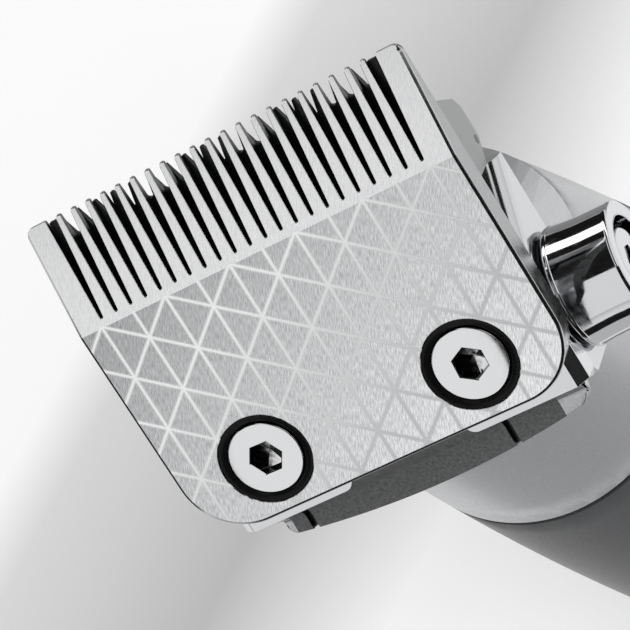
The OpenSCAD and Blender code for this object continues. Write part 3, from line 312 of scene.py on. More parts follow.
def ledge_section(x, sunk_mm=0, inset_mm=0):
    """Section of the chin at one place across: wall, hollow corner, sloped face, round lip and back."""
    lip_y = LEDGE_LIP_MM[0] + LEDGE_BOW * x * x + inset_mm
    lip_z = LEDGE_LIP_MM[1] + (lip_y - LEDGE_LIP_MM[0]) * math.tan(LEDGE_SLOPE)
    corner_y, wall_z = LEDGE_WALL_MM
    corner_z = lip_z + (corner_y - lip_y) * math.tan(LEDGE_SLOPE)
    corner_turn = math.pi / 2 - LEDGE_SLOPE
    reach = HOLLOW_MM * math.tan(corner_turn / 2)
    middle_y, middle_z = lip_y + LIP_ROUND_MM * LIP_MIDDLE[0], lip_z + LIP_ROUND_MM * LIP_MIDDLE[1]
    under_z = lip_z - LEDGE_DROP_MM
    points = [(LEDGE_BACK_MM, wall_z), (corner_y, wall_z)]
    for k in range(ARC_STEPS + 1):
        turn = corner_turn * k / ARC_STEPS
        points.append((corner_y - HOLLOW_MM * (1 - math.cos(turn)),
                       corner_z + reach - HOLLOW_MM * math.sin(turn)))
    for k in range(ARC_STEPS + 1):
        turn = -corner_turn - LIP_TURN * k / ARC_STEPS
        points.append((middle_y + LIP_ROUND_MM * math.sin(turn), middle_z + LIP_ROUND_MM * math.cos(turn)))
    points += [(lip_y + LEDGE_UNDERCUT_MM, under_z), (LEDGE_BACK_MM, under_z)]
    # A groove sinks the hollow, the face and the lip, but not the wall and the underside.
    first, last = 3, len(points) - 3
    back, down = sunk_mm * math.sin(LEDGE_SLOPE), sunk_mm * math.cos(LEDGE_SLOPE)
    return [(x, y + back, z - down) if first <= k <= last else (x, y, z) for k, (y, z) in enumerate(points)]


to_metres = Matrix.Scale(MM, 4)
bm = solid_in("head_frame", Matrix.Scale(1 / MM, 4))
corner_mm = HEAD_FRONT_MM + CORNER_CUT_MM
for place, away in (((0, HEAD_FRONT_MM, 0), (0, -1, 0)),
                    ((-HEAD_HALF_MM, corner_mm, 0), (-1, -1, 0)),
                    ((HEAD_HALF_MM, corner_mm, 0), (1, -1, 0))):
    opened = bmesh.ops.bisect_plane(bm, geom=bm.verts[:] + bm.edges[:] + bm.faces[:], plane_co=place,
                                    plane_no=away, clear_outer=True)
    rim = [part for part in opened["geom_cut"] if isinstance(part, bmesh.types.BMEdge)]
    bmesh.ops.edgenet_fill(bm, edges=rim)
for start, end, end_round in TONGUES_MM:
    sections = []
    for k in range(TONGUE_STEPS + 1):
        x = start + (end - start) * k / TONGUE_STEPS
        over = max(0, abs(x) - abs(end) + end_round) / end_round
        inset = end_round * (1 - math.sqrt(max(0, 1 - over * over)))
        sections.append(ledge_section(x, inset_mm=inset))
    for face in loft(bm, sections):
        face.material_index = 1
bmesh.ops.recalc_face_normals(bm, faces=bm.faces)
sharp_by_angle(bm, CAST_SHARP_DEG)
bmesh.ops.transform(bm, matrix=to_metres, verts=bm.verts)
soften(finished(bm, "polished_head", [polished_zinc, cast_zinc], "head_frame", "housing"),
       HEAD_EDGE_MM)

# Chin insert: a moulded ledge of dark glass-filled plastic, pressed into the chin between the tongues.
# Its face lies level with the comb, bows out in the middle and is crossed by two narrow grooves, coloured near
# black as painted shade.
INSERT_MM = (-17.6, 15.7)
INSERT_STEPS = 40
GROOVES_MM = (-15.5, 9.5)
GROOVE_WIDE_MM = 0.75
GROOVE_DEEP_MM = 0.7
CLEAR_MM = 0.1
TINY_MM = 1e-6
GROOVE_NEAR_MM = 1e-4
# Spark-eroded plastic: dark grey and dull with an even sparkle, drawn at 0.3 mm so that it shows.
grained_plastic, _, _ = new_material("spark_grained_plastic", "#3A3B3C", 0.0, 0.6)
grain(grained_plastic, 0.3, (0.5, 0.7), 0.03, ("#0A0A0B", "#6C6D6E"))
# Groove faces: the same plastic, smooth and near black, as painted shade in the grooves.
groove_shade_plastic, _, _ = new_material("groove_painted_shade_plastic", "#08080A", 0.0, 0.35)
grain(groove_shade_plastic, 0.4, (0.3, 0.42), 0.004)

bm = bmesh.new()
stations = [(INSERT_MM[0] + (INSERT_MM[1] - INSERT_MM[0]) * k / INSERT_STEPS, 0) for k in range(INSERT_STEPS + 1)]
for groove in GROOVES_MM:
    low, high = groove - GROOVE_WIDE_MM / 2, groove + GROOVE_WIDE_MM / 2
    stations = [station for station in stations if not low - CLEAR_MM < station[0] < high + CLEAR_MM]
    stations += [(low, 0), (low, GROOVE_DEEP_MM), (high, GROOVE_DEEP_MM), (high + TINY_MM, 0)]
loft(bm, [ledge_section(x, sunk_mm=sunk) for x, sunk in sorted(stations)])
for face in bm.faces:
    middle = face.calc_center_median().x
    if min(abs(middle - groove) for groove in GROOVES_MM) < GROOVE_WIDE_MM / 2 + GROOVE_NEAR_MM:
        face.material_index = 1
bmesh.ops.remove_doubles(bm, verts=bm.verts, dist=WELD_MM)
bmesh.ops.dissolve_degenerate(bm, edges=bm.edges, dist=WELD_MM)
bmesh.ops.recalc_face_normals(bm, faces=bm.faces)
sharp_by_angle(bm, CAST_SHARP_DEG)
bmesh.ops.transform(bm, matrix=to_metres, verts=bm.verts)
finished(bm, "grained_chin", [grained_plastic, groove_shade_plastic], "chin_insert", "housing")

# Nose cover: a moulded ABS box behind the cutter that hides the yoke.
# A small screw at each side holds it to the head frame.
# Matt ABS: plain mid grey with a fine moulded grain and hardly any shine.
grey_abs, _, _ = new_material("matt_grey_abs", "#8E8F90", 0.0, 0.5)
grain(grey_abs, 0.25, (0.45, 0.58), 0.008, ("#888989", "#959697"))
nose = dress("nose_cover", grey_abs, 0.25)
# Mirrored in the lever's hub it would cut the long highlight there, so reflections leave it out.
nose.visible_glossy = False

# Lever bush: a sintered bronze bearing, pressed into the right side of the head frame.
# The lever's shaft turns in it.
# Sintered bronze: dull gold brown with open grains.
sintered_bronze, _, _ = new_material("sintered_bronze", "#B28A4C", 1.0, 0.45)
grain(sintered_bronze, 0.2, (0.4, 0.55), 0.01)
dress("lever_bush", sintered_bronze, 0.1)

# Taper plate and button rim: pressed steel and die-cast zinc with bright chrome plate.
# The plate slides on the head frame and carries the comb, and the rim is pressed into the handle's back.
BLADE_TILT = math.radians(43)
BEVEL_LINE = (0, -4.578 * MM, 165.731 * MM)
FOOT_MM = (7, -28.6)
FOOT_NEAR_MM = 0.1
FOOT_ROUND_MM = 1.3
FOOT_STEPS = 8
PLATE_EDGE_MM = 0.25
PLATED_SHARP_DEG = 25
# How much of a direction lies along Z where it counts as upright, and where it still counts as level.
UPRIGHT = 0.9
LEVEL = 0.5
SHARP_ANGLE = math.radians(30)
# Bright chrome: a near mirror, dark where the studio is dark, with the faint ripple of polished plate.
chrome, _, _ = new_material("bright_chrome_plate", "#D2D3D5", 1.0, 0.06)
grain(chrome, 0.6, (0.04, 0.09), 0.0006)
dress("button_bezel", chrome, 0.3)
# From the blade's own frame in mm, with X across, Y to the tips and Z out of the face, to the part's.
to_blade = Matrix.Translation(BEVEL_LINE) @ Matrix.Rotation(BLADE_TILT, 4, "X") @ Matrix.Scale(MM, 4)


def break_edges(bm, chosen, width_mm, segments):
    """Chamfers or rounds the sharp edges that pass a test on their middle, direction and faces."""
    found = []
    for edge in bm.edges:
        if edge.is_manifold and edge.calc_face_angle() > SHARP_ANGLE:
            start, end = edge.verts[0].co, edge.verts[1].co
            if chosen((start + end) / 2, (start - end).normalized(), edge):
                found.append(edge)
    bmesh.ops.bevel(bm, geom=found, offset=width_mm, offset_type="OFFSET", segments=segments,
                    profile=0.5, affect="EDGES", clamp_overlap=False)


def on_foot(middle, way, edge):
    """The upright corners of the two feet at the plate's rear edge."""
    aside, back = abs(abs(middle.x) - FOOT_MM[0]), abs(middle.y - FOOT_MM[1])
    return abs(way.z) > UPRIGHT and aside < FOOT_NEAR_MM and back < FOOT_NEAR_MM


bm = solid_in("taper_plate", to_blade.inverted())
break_edges(bm, on_foot, FOOT_ROUND_MM, FOOT_STEPS)
sharp_by_angle(bm, PLATED_SHARP_DEG)
bmesh.ops.transform(bm, matrix=to_blade, verts=bm.verts)
soften(finished(bm, "chromed_plate", [chrome], "taper_plate", "comb"), PLATE_EDGE_MM)

# Taper lever: a die-cast arm with a round hub that flares to a collar, polished and chromed.
# It turns on the shaft in the head's right side; four ribs near its tip give the thumb a hold.
LEVER_AXIS_MM = (0, -11.618, 141.022)
LEVER_SLANT = math.radians(18)
HUB_MM = (21.48, 29.18)
HUB_R_MM = 6.5
SEAT_R_MM = 2.4
COLLAR_R_MM = 6.8
COLLAR_ROUND_MM = 0.3
COLLAR_LIP_DEG = 50
FLARE_R_MM = 35
FLARE_DEG = 4.2
FLARE_END_MM = 4.5
FLARE_STEPS = 20
END_ROUND_MM = 0.45
END_STEPS = 10
RECESS_R_MM = 4.75
RECESS_DEEP_MM = 2.4
MOUTH_ROUND_MM = 0.15
MOUTH_STEPS = 4
SCREW_HOLE_R_MM = 1.2
LAND_MM = 0.15
STEP_MM = 0.1
ARM_X_MM = (21.98, 25.18)
ARM_LONG_MM = 36
ARM_ROOT_MM = 5
ARM_TIP_MM = 4
ARM_TIP_STEPS = 24
ARM_ROUND_MM = 0.8
ARM_ROUND_STEPS = 4
RIBS_MM = (26.1, 28.1, 30.1, 32.1)
RIB_HALF_MM = 2.1
RIB_R_MM = 0.5
RIB_RISE_MM = 0.2
RIB_END_DEG = 88
RIB_STEPS = 24


def turned(bm, profile, segments=96):
    """Skins a turned body about Z from steps of height, radius and, for a hexagon, its six corners."""
    rings = []
    for height, radius, corners in profile:
        part = 2 * math.pi / corners if corners else 0
        ring = []
        for k in range(segments):
            turn = 2 * math.pi * k / segments
            reach = radius / math.cos((turn + part / 2) % part - part / 2) if corners else radius
            ring.append((reach * math.cos(turn), reach * math.sin(turn), height))
        rings.append(ring)
    return list(dict.fromkeys(vert for face in loft(bm, rings) for vert in face.verts))


def sweep(centre, radius, from_deg, to_deg, steps=ARC_STEPS):
    """Steps of a turned profile along an arc; the angle goes from outwards to upwards."""
    turns = [math.radians(from_deg + (to_deg - from_deg) * k / steps) for k in range(steps + 1)]
    return [(centre[0] + radius * math.sin(t), centre[1] + radius * math.cos(t), 0) for t in turns]


hub_start, hub_end = HUB_MM
flare_end = hub_start + FLARE_END_MM
recess_floor = hub_end - RECESS_DEEP_MM
collar_r, end_r, mouth_r = COLLAR_R_MM - COLLAR_ROUND_MM, HUB_R_MM - END_ROUND_MM, RECESS_R_MM + MOUTH_ROUND_MM
collar_at = hub_start + COLLAR_ROUND_MM
bm = bmesh.new()
hub = turned(bm, [(hub_start, SEAT_R_MM, 0), (hub_start, collar_r, 0)]
             + sweep((collar_at, collar_r), COLLAR_ROUND_MM, -90, 0)
             + sweep((collar_at + LAND_MM, collar_r), COLLAR_ROUND_MM, 0, COLLAR_LIP_DEG)
             + sweep((flare_end, HUB_R_MM + FLARE_R_MM), -FLARE_R_MM, FLARE_DEG, 0, FLARE_STEPS)
             + [(flare_end + STEP_MM, HUB_R_MM, 0), (hub_end - END_ROUND_MM - LAND_MM, HUB_R_MM, 0)]
             + sweep((hub_end - END_ROUND_MM, end_r), END_ROUND_MM, 0, 90, END_STEPS)
             + [(hub_end, end_r - STEP_MM, 0), (hub_end, mouth_r + STEP_MM, 0)]
             + sweep((hub_end - MOUTH_ROUND_MM, mouth_r), -MOUTH_ROUND_MM, -90, 0, MOUTH_STEPS)[::-1]
             + [(recess_floor, RECESS_R_MM, 0), (recess_floor, SCREW_HOLE_R_MM, 0)])
lever_place = Matrix.Translation(LEVER_AXIS_MM)
along_lever_axis = lever_place @ Matrix.Rotation(math.pi / 2, 4, "Y")
bmesh.ops.transform(bm, matrix=along_lever_axis, verts=hub)

tip_middle = ARM_LONG_MM - ARM_TIP_MM
outline = [(ARM_ROOT_MM, 0), (ARM_TIP_MM, tip_middle)]
for k in range(1, ARM_TIP_STEPS):
    turn = math.pi * k / ARM_TIP_STEPS
    outline.append((ARM_TIP_MM * math.cos(turn), tip_middle + ARM_TIP_MM * math.sin(turn)))
outline += [(-ARM_TIP_MM, tip_middle), (-ARM_ROOT_MM, 0)]
arm = [bm.verts.new((x, across, -down)) for x in ARM_X_MM for across, down in outline]
half = len(outline)
ends = [bm.faces.new(arm[:half]), bm.faces.new(arm[half:])]
# The first of these, at the root inside the hub, joins its corners crosswise, which turns the rounding below
# outwards along one half of the arm.
sides = [bm.faces.new((arm[k - 1], arm[k], arm[half + k], arm[half + k - 1])) for k in range(half)]
bmesh.ops.recalc_face_normals(bm, faces=ends + sides)
rims = dict.fromkeys(edge for face in ends for edge in face.edges)
rounded = bmesh.ops.bevel(bm, geom=list(rims), offset=ARM_ROUND_MM, offset_type="OFFSET", segments=ARM_ROUND_STEPS,
                          profile=0.5, affect="EDGES", clamp_overlap=True)
arm = list({vert for face in ends + sides if face.is_valid for vert in face.verts} | set(rounded["verts"]))
for down in RIBS_MM:
    rib = turned(bm, sweep((-RIB_HALF_MM, 0), RIB_R_MM, -RIB_END_DEG, 0)
                 + sweep((RIB_HALF_MM, 0), RIB_R_MM, 0, RIB_END_DEG), RIB_STEPS)
    rib_place = Matrix.Translation((ARM_X_MM[1] + RIB_RISE_MM, 0, -down))
    bmesh.ops.transform(bm, matrix=rib_place @ Matrix.Rotation(math.pi / 2, 4, "X"), verts=rib)
    arm += rib
bmesh.ops.transform(bm, matrix=lever_place @ Matrix.Rotation(LEVER_SLANT, 4, "X"), verts=arm)
sharp_by_angle(bm, PLATED_SHARP_DEG)
bmesh.ops.transform(bm, matrix=to_metres, verts=bm.verts)
finished(bm, "chromed_lever", [chrome], "taper_lever", "lever")

# Lever screw: a cheese head with a pressed hexagon socket, turned from steel and chromed like the hub.
# It sits deep in the hub's recess and holds the lever on its shaft.
CAP_END_MM = 20.8
CAP_SHANK_R_MM = 1.1
CAP_R_MM = 3.6
CAP_SUNK_MM = 0.5
CAP_ROUND_MM = 0.25
CAP_ROUND_AT_MM = 3.4
# Each socket: half its width across flats, how deep its walls go, and the cone at its foot.
CAP_SOCKET_MM = (1.5, 1.5, 0.3)
SOCKET_BREAK_MM = 0.1
SOCKET_POINT_MM = 0.05


def hexagon_socket(top, half, deep, cone):
    """Steps of a turned profile down into a socket: broken rim, flat walls and pointed foot."""
    return [(top, half + SOCKET_BREAK_MM, 6), (top - SOCKET_BREAK_MM, half, 6), (top - deep, half, 6),
            (top - deep - cone, SOCKET_POINT_MM, 0)]


bm = bmesh.new()
cap_top = hub_end - CAP_SUNK_MM
cap = turned(bm, [(CAP_END_MM, CAP_SHANK_R_MM, 0), (recess_floor, CAP_SHANK_R_MM, 0), (recess_floor, CAP_R_MM, 0)]
             + sweep((cap_top - CAP_ROUND_MM, CAP_ROUND_AT_MM), CAP_ROUND_MM, 0, 90)
             + hexagon_socket(cap_top, *CAP_SOCKET_MM))
bmesh.ops.transform(bm, matrix=along_lever_axis, verts=cap)
sharp_by_angle(bm, PLATED_SHARP_DEG)
bmesh.ops.transform(bm, matrix=to_metres, verts=bm.verts)
finished(bm, "socket_cap_screw", [chrome], "lever_screw", "lever")

# Cutter: a hardened steel blade with short pointed teeth, ground along them.
# It is pinned to the yoke, and the leaf springs press it against the underside of the comb.
# Near-black steel with a dull metal shine, streaked by the grinding; it keeps the gaps between the comb's teeth
# dark.
near_black_steel, _, _ = new_material("near_black_cutter_steel", "#17181A", 0.6, 0.35)
grain(near_black_steel, 0.15, (0.28, 0.45), 0.004, stretch=(1, 0.04, 0.04))
dress("cutter_blade", near_black_steel, 0.05)

# Comb blade: stainless steel, stamped, ground to a tooth bevel and brushed along the teeth.
# A lattice of thin lines is etched into its flat face, and its outline has a small chamfer.
# Two countersunk screws hold it to the taper plate.
LINE_STEP_MM = 4.017
NODE_STEP_MM = 6.56
FIRST_NODE_MM = 3.08
LINE_WIDTH_MM = 0.36
LINE_BLUR_MM = 0.12
LINE_ROUGHNESS = 0.5
LINE_METALLIC = 0.3
FACE_DEPTH_MM = -0.03
# Both painted tones, the painted light on the lines and the painted shade on the face, change along one slanted way
# over the face: X less 1.8 times Y, in mm.
TONE_SLANT = -1.8
LINE_PAINTED_LIGHT_MM = (2, 44)
FACE_PAINTED_SHADE_MM = (-20, 62)
FACE_PAINTED_SHADE_GAIN = (0.67, 1.33)
STREAK_MM = 0.12
STREAK_LONG = 7
STREAK_TURN = math.radians(-26)
STREAK_BUMP_MM = 0.003
STREAK_RANGE = (0.32, 0.68)
STREAK_ROUGHNESS = (0.14, 0.21)
# Brushed stainless steel: pale grey with fine streaks along the teeth; the etched lines are matt, and painted
# light makes them bright at the left of the blade and fading to grey at the right. Streaks are drawn at 0.12 mm so
# that they show.
brushed_steel, tree, shader = new_material("brushed_stainless_steel", "#BCBDBE", 1.0, 0.3)


def blade_places(tree):
    """Places in the blade's own frame in mm: the vector, and its three axes apart."""
    place = add(tree, "ShaderNodeTexCoord")
    on_blade = add(tree, "ShaderNodeMapping", {
        "Vector": place.outputs["Object"], "Location": BEVEL_LINE, "Rotation": (BLADE_TILT, 0, 0),
        "Scale": (MM, MM, MM)}, vector_type="TEXTURE")
    axes = add(tree, "ShaderNodeSeparateXYZ", {"Vector": on_blade.outputs["Vector"]})
    return on_blade.outputs["Vector"], axes.outputs


on_blade, axes = blade_places(tree)
slope = NODE_STEP_MM / 2 / LINE_STEP_MM
nearest = add(tree, "ShaderNodeMath", {0: axes["X"], 1: LINE_STEP_MM / 2}, operation="PINGPONG").outputs[0]
for lean in (-slope, slope):
    along = add(tree, "ShaderNodeMath", {0: axes["X"], 1: lean, 2: axes["Y"]}, operation="MULTIPLY_ADD")
    shifted = add(tree, "ShaderNodeMath", {0: along.outputs[0], 1: FIRST_NODE_MM}, operation="ADD")
    wave = add(tree, "ShaderNodeMath", {0: shifted.outputs[0], 1: NODE_STEP_MM / 2}, operation="PINGPONG")
    aside = add(tree, "ShaderNodeMath", {0: wave.outputs[0], 1: math.cos(math.atan(slope))}, operation="MULTIPLY")
    nearest = add(tree, "ShaderNodeMath", {0: nearest, 1: aside.outputs[0]}, operation="MINIMUM").outputs[0]
line = add(tree, "ShaderNodeMapRange", {
    "Value": nearest, "From Min": LINE_WIDTH_MM / 2 + LINE_BLUR_MM, "From Max": LINE_WIDTH_MM / 2 - LINE_BLUR_MM})
flat = add(tree, "ShaderNodeMath", {0: axes["Z"], 1: FACE_DEPTH_MM}, operation="GREATER_THAN")
etched = add(tree, "ShaderNodeMath", {
    0: line.outputs["Result"], 1: flat.outputs[0]}, operation="MULTIPLY").outputs[0]
# Painted light on the etched lines: their colour runs from near white at the front left to grey at the rear right.
painted_light_slant = add(tree, "ShaderNodeMath", {0: axes["Y"], 1: TONE_SLANT, 2: axes["X"]}, operation="MULTIPLY_ADD")
painted_line_light = add(tree, "ShaderNodeMapRange", {
    "Value": painted_light_slant.outputs[0], "From Min": LINE_PAINTED_LIGHT_MM[0], "From Max": LINE_PAINTED_LIGHT_MM[1]})
painted_line_light_colour = add(tree, "ShaderNodeMix", {
    "Factor": painted_line_light.outputs["Result"], MIX_A: linear("#F4F5F5"), MIX_B: linear("#C2C3C4")}, data_type="RGBA")
streaks = add(tree, "ShaderNodeMapping", {
    "Vector": on_blade, "Rotation": (0, 0, STREAK_TURN),
    "Scale": (STREAK_MM, STREAK_LONG * STREAK_MM, STREAK_LONG * STREAK_MM)}, vector_type="TEXTURE")
brush = add(tree, "ShaderNodeTexNoise", {"Vector": streaks.outputs["Vector"], "Scale": 1.0, "Detail": 3.0})
scratch = add(tree, "ShaderNodeMapRange", {
    "Value": brush.outputs["Fac"], "From Min": STREAK_RANGE[0], "From Max": STREAK_RANGE[1]})
face_colour = add(tree, "ShaderNodeMix", {
    "Factor": scratch.outputs["Result"], MIX_A: linear("#AFB0B1"), MIX_B: linear("#DFE0E1")}, data_type="RGBA")
# Painted shade on the brushed face: its colour is multiplied down towards the front left and up towards the rear
# right.
painted_face_shade = add(tree, "ShaderNodeMapRange", {
    "Value": painted_light_slant.outputs[0], "From Min": FACE_PAINTED_SHADE_MM[0], "From Max": FACE_PAINTED_SHADE_MM[1],
    "To Min": FACE_PAINTED_SHADE_GAIN[0], "To Max": FACE_PAINTED_SHADE_GAIN[1]})
painted_shade_face_colour = add(tree, "ShaderNodeMix", {
    "Factor": 1.0, MIX_A: face_colour.outputs[MIX_OUT], MIX_B: painted_face_shade.outputs["Result"]},
    data_type="RGBA", blend_type="MULTIPLY")
bevel_colour = add(tree, "ShaderNodeMix", {
    "Factor": scratch.outputs["Result"], MIX_A: linear("#D9DADB"), MIX_B: linear("#F2F2F3")}, data_type="RGBA")
on_bevel = add(tree, "ShaderNodeMath", {0: axes["Y"], 1: 0.0}, operation="GREATER_THAN")
steel_colour = add(tree, "ShaderNodeMix", {
    "Factor": on_bevel.outputs[0], MIX_A: painted_shade_face_colour.outputs[MIX_OUT], MIX_B: bevel_colour.outputs[MIX_OUT]},
    data_type="RGBA")
surface = add(tree, "ShaderNodeMix", {
    "Factor": etched, MIX_A: steel_colour.outputs[MIX_OUT], MIX_B: painted_line_light_colour.outputs[MIX_OUT]}, data_type="RGBA")
tree.links.new(surface.outputs[MIX_OUT], shader.inputs["Base Color"])
metal = add(tree, "ShaderNodeMapRange", {"Value": etched, "To Min": 1.0, "To Max": LINE_METALLIC})
tree.links.new(metal.outputs["Result"], shader.inputs["Metallic"])
metal_rough = add(tree, "ShaderNodeMapRange", {
    "Value": brush.outputs["Fac"], "From Min": NOISE_RANGE[0], "From Max": NOISE_RANGE[1],
    "To Min": STREAK_ROUGHNESS[0], "To Max": STREAK_ROUGHNESS[1]})
# Sockets 2 and 3 are the two numbers of a Mix node that mixes numbers.
rough = add(tree, "ShaderNodeMix", {
    "Factor": etched, 2: metal_rough.outputs["Result"], 3: LINE_ROUGHNESS}, data_type="FLOAT")
tree.links.new(rough.outputs[0], shader.inputs["Roughness"])
height = add(tree, "ShaderNodeBump", {"Height": brush.outputs["Fac"], "Distance": STREAK_BUMP_MM * MM})
tree.links.new(height.outputs["Normal"], shader.inputs["Normal"])

# Ground edge: the same steel after a fine wheel, smooth enough to mirror the studio as a thin dark line.
edge_steel, _, _ = new_material("fine_ground_edge_steel", "#BCBDBE", 1.0, 0.12)
grain(edge_steel, 0.2, (0.1, 0.16), 0.001, stretch=(1, 0.1, 0.1))
# Slot walls: the same steel, duller from the grinding wheel, and coloured dark as painted shade in the slots.
shaded_slot_steel, _, _ = new_material("slot_wall_steel_painted_shade", "#6C6D6F", 1.0, 0.4)
grain(shaded_slot_steel, 0.15, (0.3, 0.5), 0.003, stretch=(0.1, 0.1, 1))
# Sides: the same steel with the grain the press left, a shade darker than the brushed face as painted shade.
shaded_side_steel, _, _ = new_material("side_wall_steel_painted_shade", "#9E9FA0", 1.0, 0.3)
grain(shaded_side_steel, 0.2, (0.24, 0.36), 0.003, ("#8C8D8E", "#B0B1B2"), stretch=(1, 0.15, 0.15))
# Their places in the comb's list of materials, after the brushed face.
SHADED_SLOT_WALL, GROUND_EDGE, SHADED_SIDE = 1, 2, 3

HALF_MM = 23
TIP_MM = 12.16
TEETH_FROM_MM = 0.3
END_TOOTH_MM = 20.3
SCREW_MM = (12.55, -20.4)
SCREW_NEAR_MM = 5.5
EDGE_CHAMFER_MM = 0.36
CHAMFER_SLOPE = math.tan(math.radians(30))
EDGE_BREAK_MM = 0.1
TOOTH_EDGE_MM = 0.06
HOLE_EDGE_MM = 0.1
TIP_ROUND_MM = 0.2
TIP_STEPS = 3
# How near the tips and the sides an edge or a face belongs to them.
TIP_BAND_MM = 0.3
TIP_NEAR_MM = 0.1
SIDE_EDGE_MM = 1.1
SIDE_FACE_MM = 1.2
SIDE_WALL_MM = 0.3
SLOT_CLEAR_MM = 0.5
# How far a face looks up, as the Z of its normal: a wall, the 45 degree chamfer as it is cut, and the ground edge.
WALL = 0.1
CUT_CHAMFER = (0.6, 0.8)
LOW_CHAMFER = (0.5, 0.9)
EDGE_LEAN = (0.12, 0.9)
SLOT_LEAN = 0.3
SLOT_FRONT = 0.7
GROUND_SHARP_DEG = 8


def on_face(middle, way, edge):
    """Edges that bound the flat face or the tooth bevel."""
    return abs(way.z) < LEVEL and max(face.normal.z for face in edge.link_faces) > UPRIGHT


def by_screw(middle):
    """Whether a place belongs to one of the two screw holes."""
    return math.hypot(abs(middle.x) - SCREW_MM[0], middle.y - SCREW_MM[1]) < SCREW_NEAR_MM


def on_outline(middle, way, edge):
    """The blade's rear and side edges, without the tips and the holes."""
    if middle.y > TIP_MM - TIP_BAND_MM or by_screw(middle):
        return False
    return on_face(middle, way, edge) and (middle.y < 0 or abs(middle.x) > HALF_MM - SIDE_EDGE_MM)


def under_chamfer(middle, way, edge):
    """The lower edge of the chamfer, where it meets the blade's wall."""
    wall, chamfer = sorted(face.normal.z for face in edge.link_faces)
    return abs(wall) < WALL and LOW_CHAMFER[0] < chamfer < LOW_CHAMFER[1]


def round_hole(middle, way, edge):
    """The rims of the screw holes."""
    return on_face(middle, way, edge) and by_screw(middle)


def on_tip(middle, way, edge):
    """The upright corners at the tips of the teeth."""
    return abs(way.z) > UPRIGHT and middle.y > TIP_MM - TIP_NEAR_MM


def on_teeth(middle, way, edge):
    """The long edges of the teeth."""
    return middle.y > TEETH_FROM_MM and on_face(middle, way, edge) and abs(middle.x) < END_TOOTH_MM


bm = solid_in("comb_blade", to_blade.inverted())
break_edges(bm, on_outline, EDGE_CHAMFER_MM, 1)
lower = set()
for face in bm.faces:
    if CUT_CHAMFER[0] < face.normal.z < CUT_CHAMFER[1]:
        lower |= {vert for vert in face.verts if any(abs(wall.normal.z) < WALL for wall in vert.link_faces)}
for vert in lower:
    vert.co.z += EDGE_CHAMFER_MM * (1 - CHAMFER_SLOPE)
bm.normal_update()
break_edges(bm, under_chamfer, EDGE_BREAK_MM, 2)
break_edges(bm, round_hole, HOLE_EDGE_MM, 2)
break_edges(bm, on_tip, TIP_ROUND_MM, TIP_STEPS)
break_edges(bm, on_teeth, TOOTH_EDGE_MM, 1)
for face in bm.faces:
    centre = face.calc_center_median()
    aside, up = abs(centre.x), face.normal.z
    on_rim = not by_screw(centre) and (centre.y < 0 or aside > HALF_MM - SIDE_FACE_MM)
    in_slot = centre.y > TEETH_FROM_MM and aside < HALF_MM - SLOT_CLEAR_MM and face.normal.y < SLOT_FRONT
    if on_rim and EDGE_LEAN[0] < up < EDGE_LEAN[1]:
        face.material_index = GROUND_EDGE
    if in_slot and abs(up) < SLOT_LEAN:
        face.material_index = SHADED_SLOT_WALL
    if aside > HALF_MM - SIDE_WALL_MM and abs(up) < WALL:
        face.material_index = SHADED_SIDE
sharp_by_angle(bm, GROUND_SHARP_DEG)
bmesh.ops.transform(bm, matrix=to_blade, verts=bm.verts)
finished(bm, "comb_steel", [brushed_steel, shaded_slot_steel, edge_steel, shaded_side_steel], "comb_blade", "comb")

# Cup rings: two conical washers of turned steel, blackened and oiled.
# They are pressed into the comb and take the cones of the screw heads.
# Oiled black oxide: deep black with a soft, low gloss.
ring_black, _, shader = new_material("oiled_black_oxide_steel", "#0C0C0D", 0.0, 0.25)
shader.inputs["Specular IOR Level"].default_value = 0.12
grain(ring_black, 0.5, (0.18, 0.32), 0.002)
dress("cup_rings", ring_black, 0.08)

# Blade screws: stainless countersunk heads with a pressed hexagon socket, driven home flush.
# They go through cup rings and comb into the taper plate.
SCREW_TURNS_DEG = (28, 56)
# Height and radius at the screw's end, above its chamfer, at the foot of its cone and at the cone's rim.
SHANK_MM = ((-5.0, 1.7), (-4.7, 2.0), (-2.45, 2.0), (-0.55, 4.05))
HEAD_TOP_MM = -0.15
HEAD_ROUND_MM = 0.12
HEAD_ROUND_AT_MM = 3.93
HEAD_ROUND_STEPS = 4
BLADE_SOCKET_MM = (1.65, 1.6, 0.5)
SOCKET_SHADE_TOP_MM = -0.35
SOCKET_HIGHLIGHT_TOP_MM = -1.7
SOCKET_HIGHLIGHT_WAY = (0.9, -0.43)
SOCKET_HIGHLIGHT_MARK_MM = 0.5
SOCKET_HIGHLIGHT_RAGGED_MM = 2.4
SOCKET_HIGHLIGHT_RANGE_MM = (0.7, 2.1)
# Polished stainless steel: bright and even on the face. The sockets are coloured dark as painted shade, and at
# the foot a ragged painted highlight lies on the same side of both screws.
polished_steel, tree, shader = new_material("polished_stainless_steel", "#DEDFE0", 1.0, 0.2)
grain(polished_steel, 0.3, (0.07, 0.13), 0.0005)
on_blade, axes = blade_places(tree)
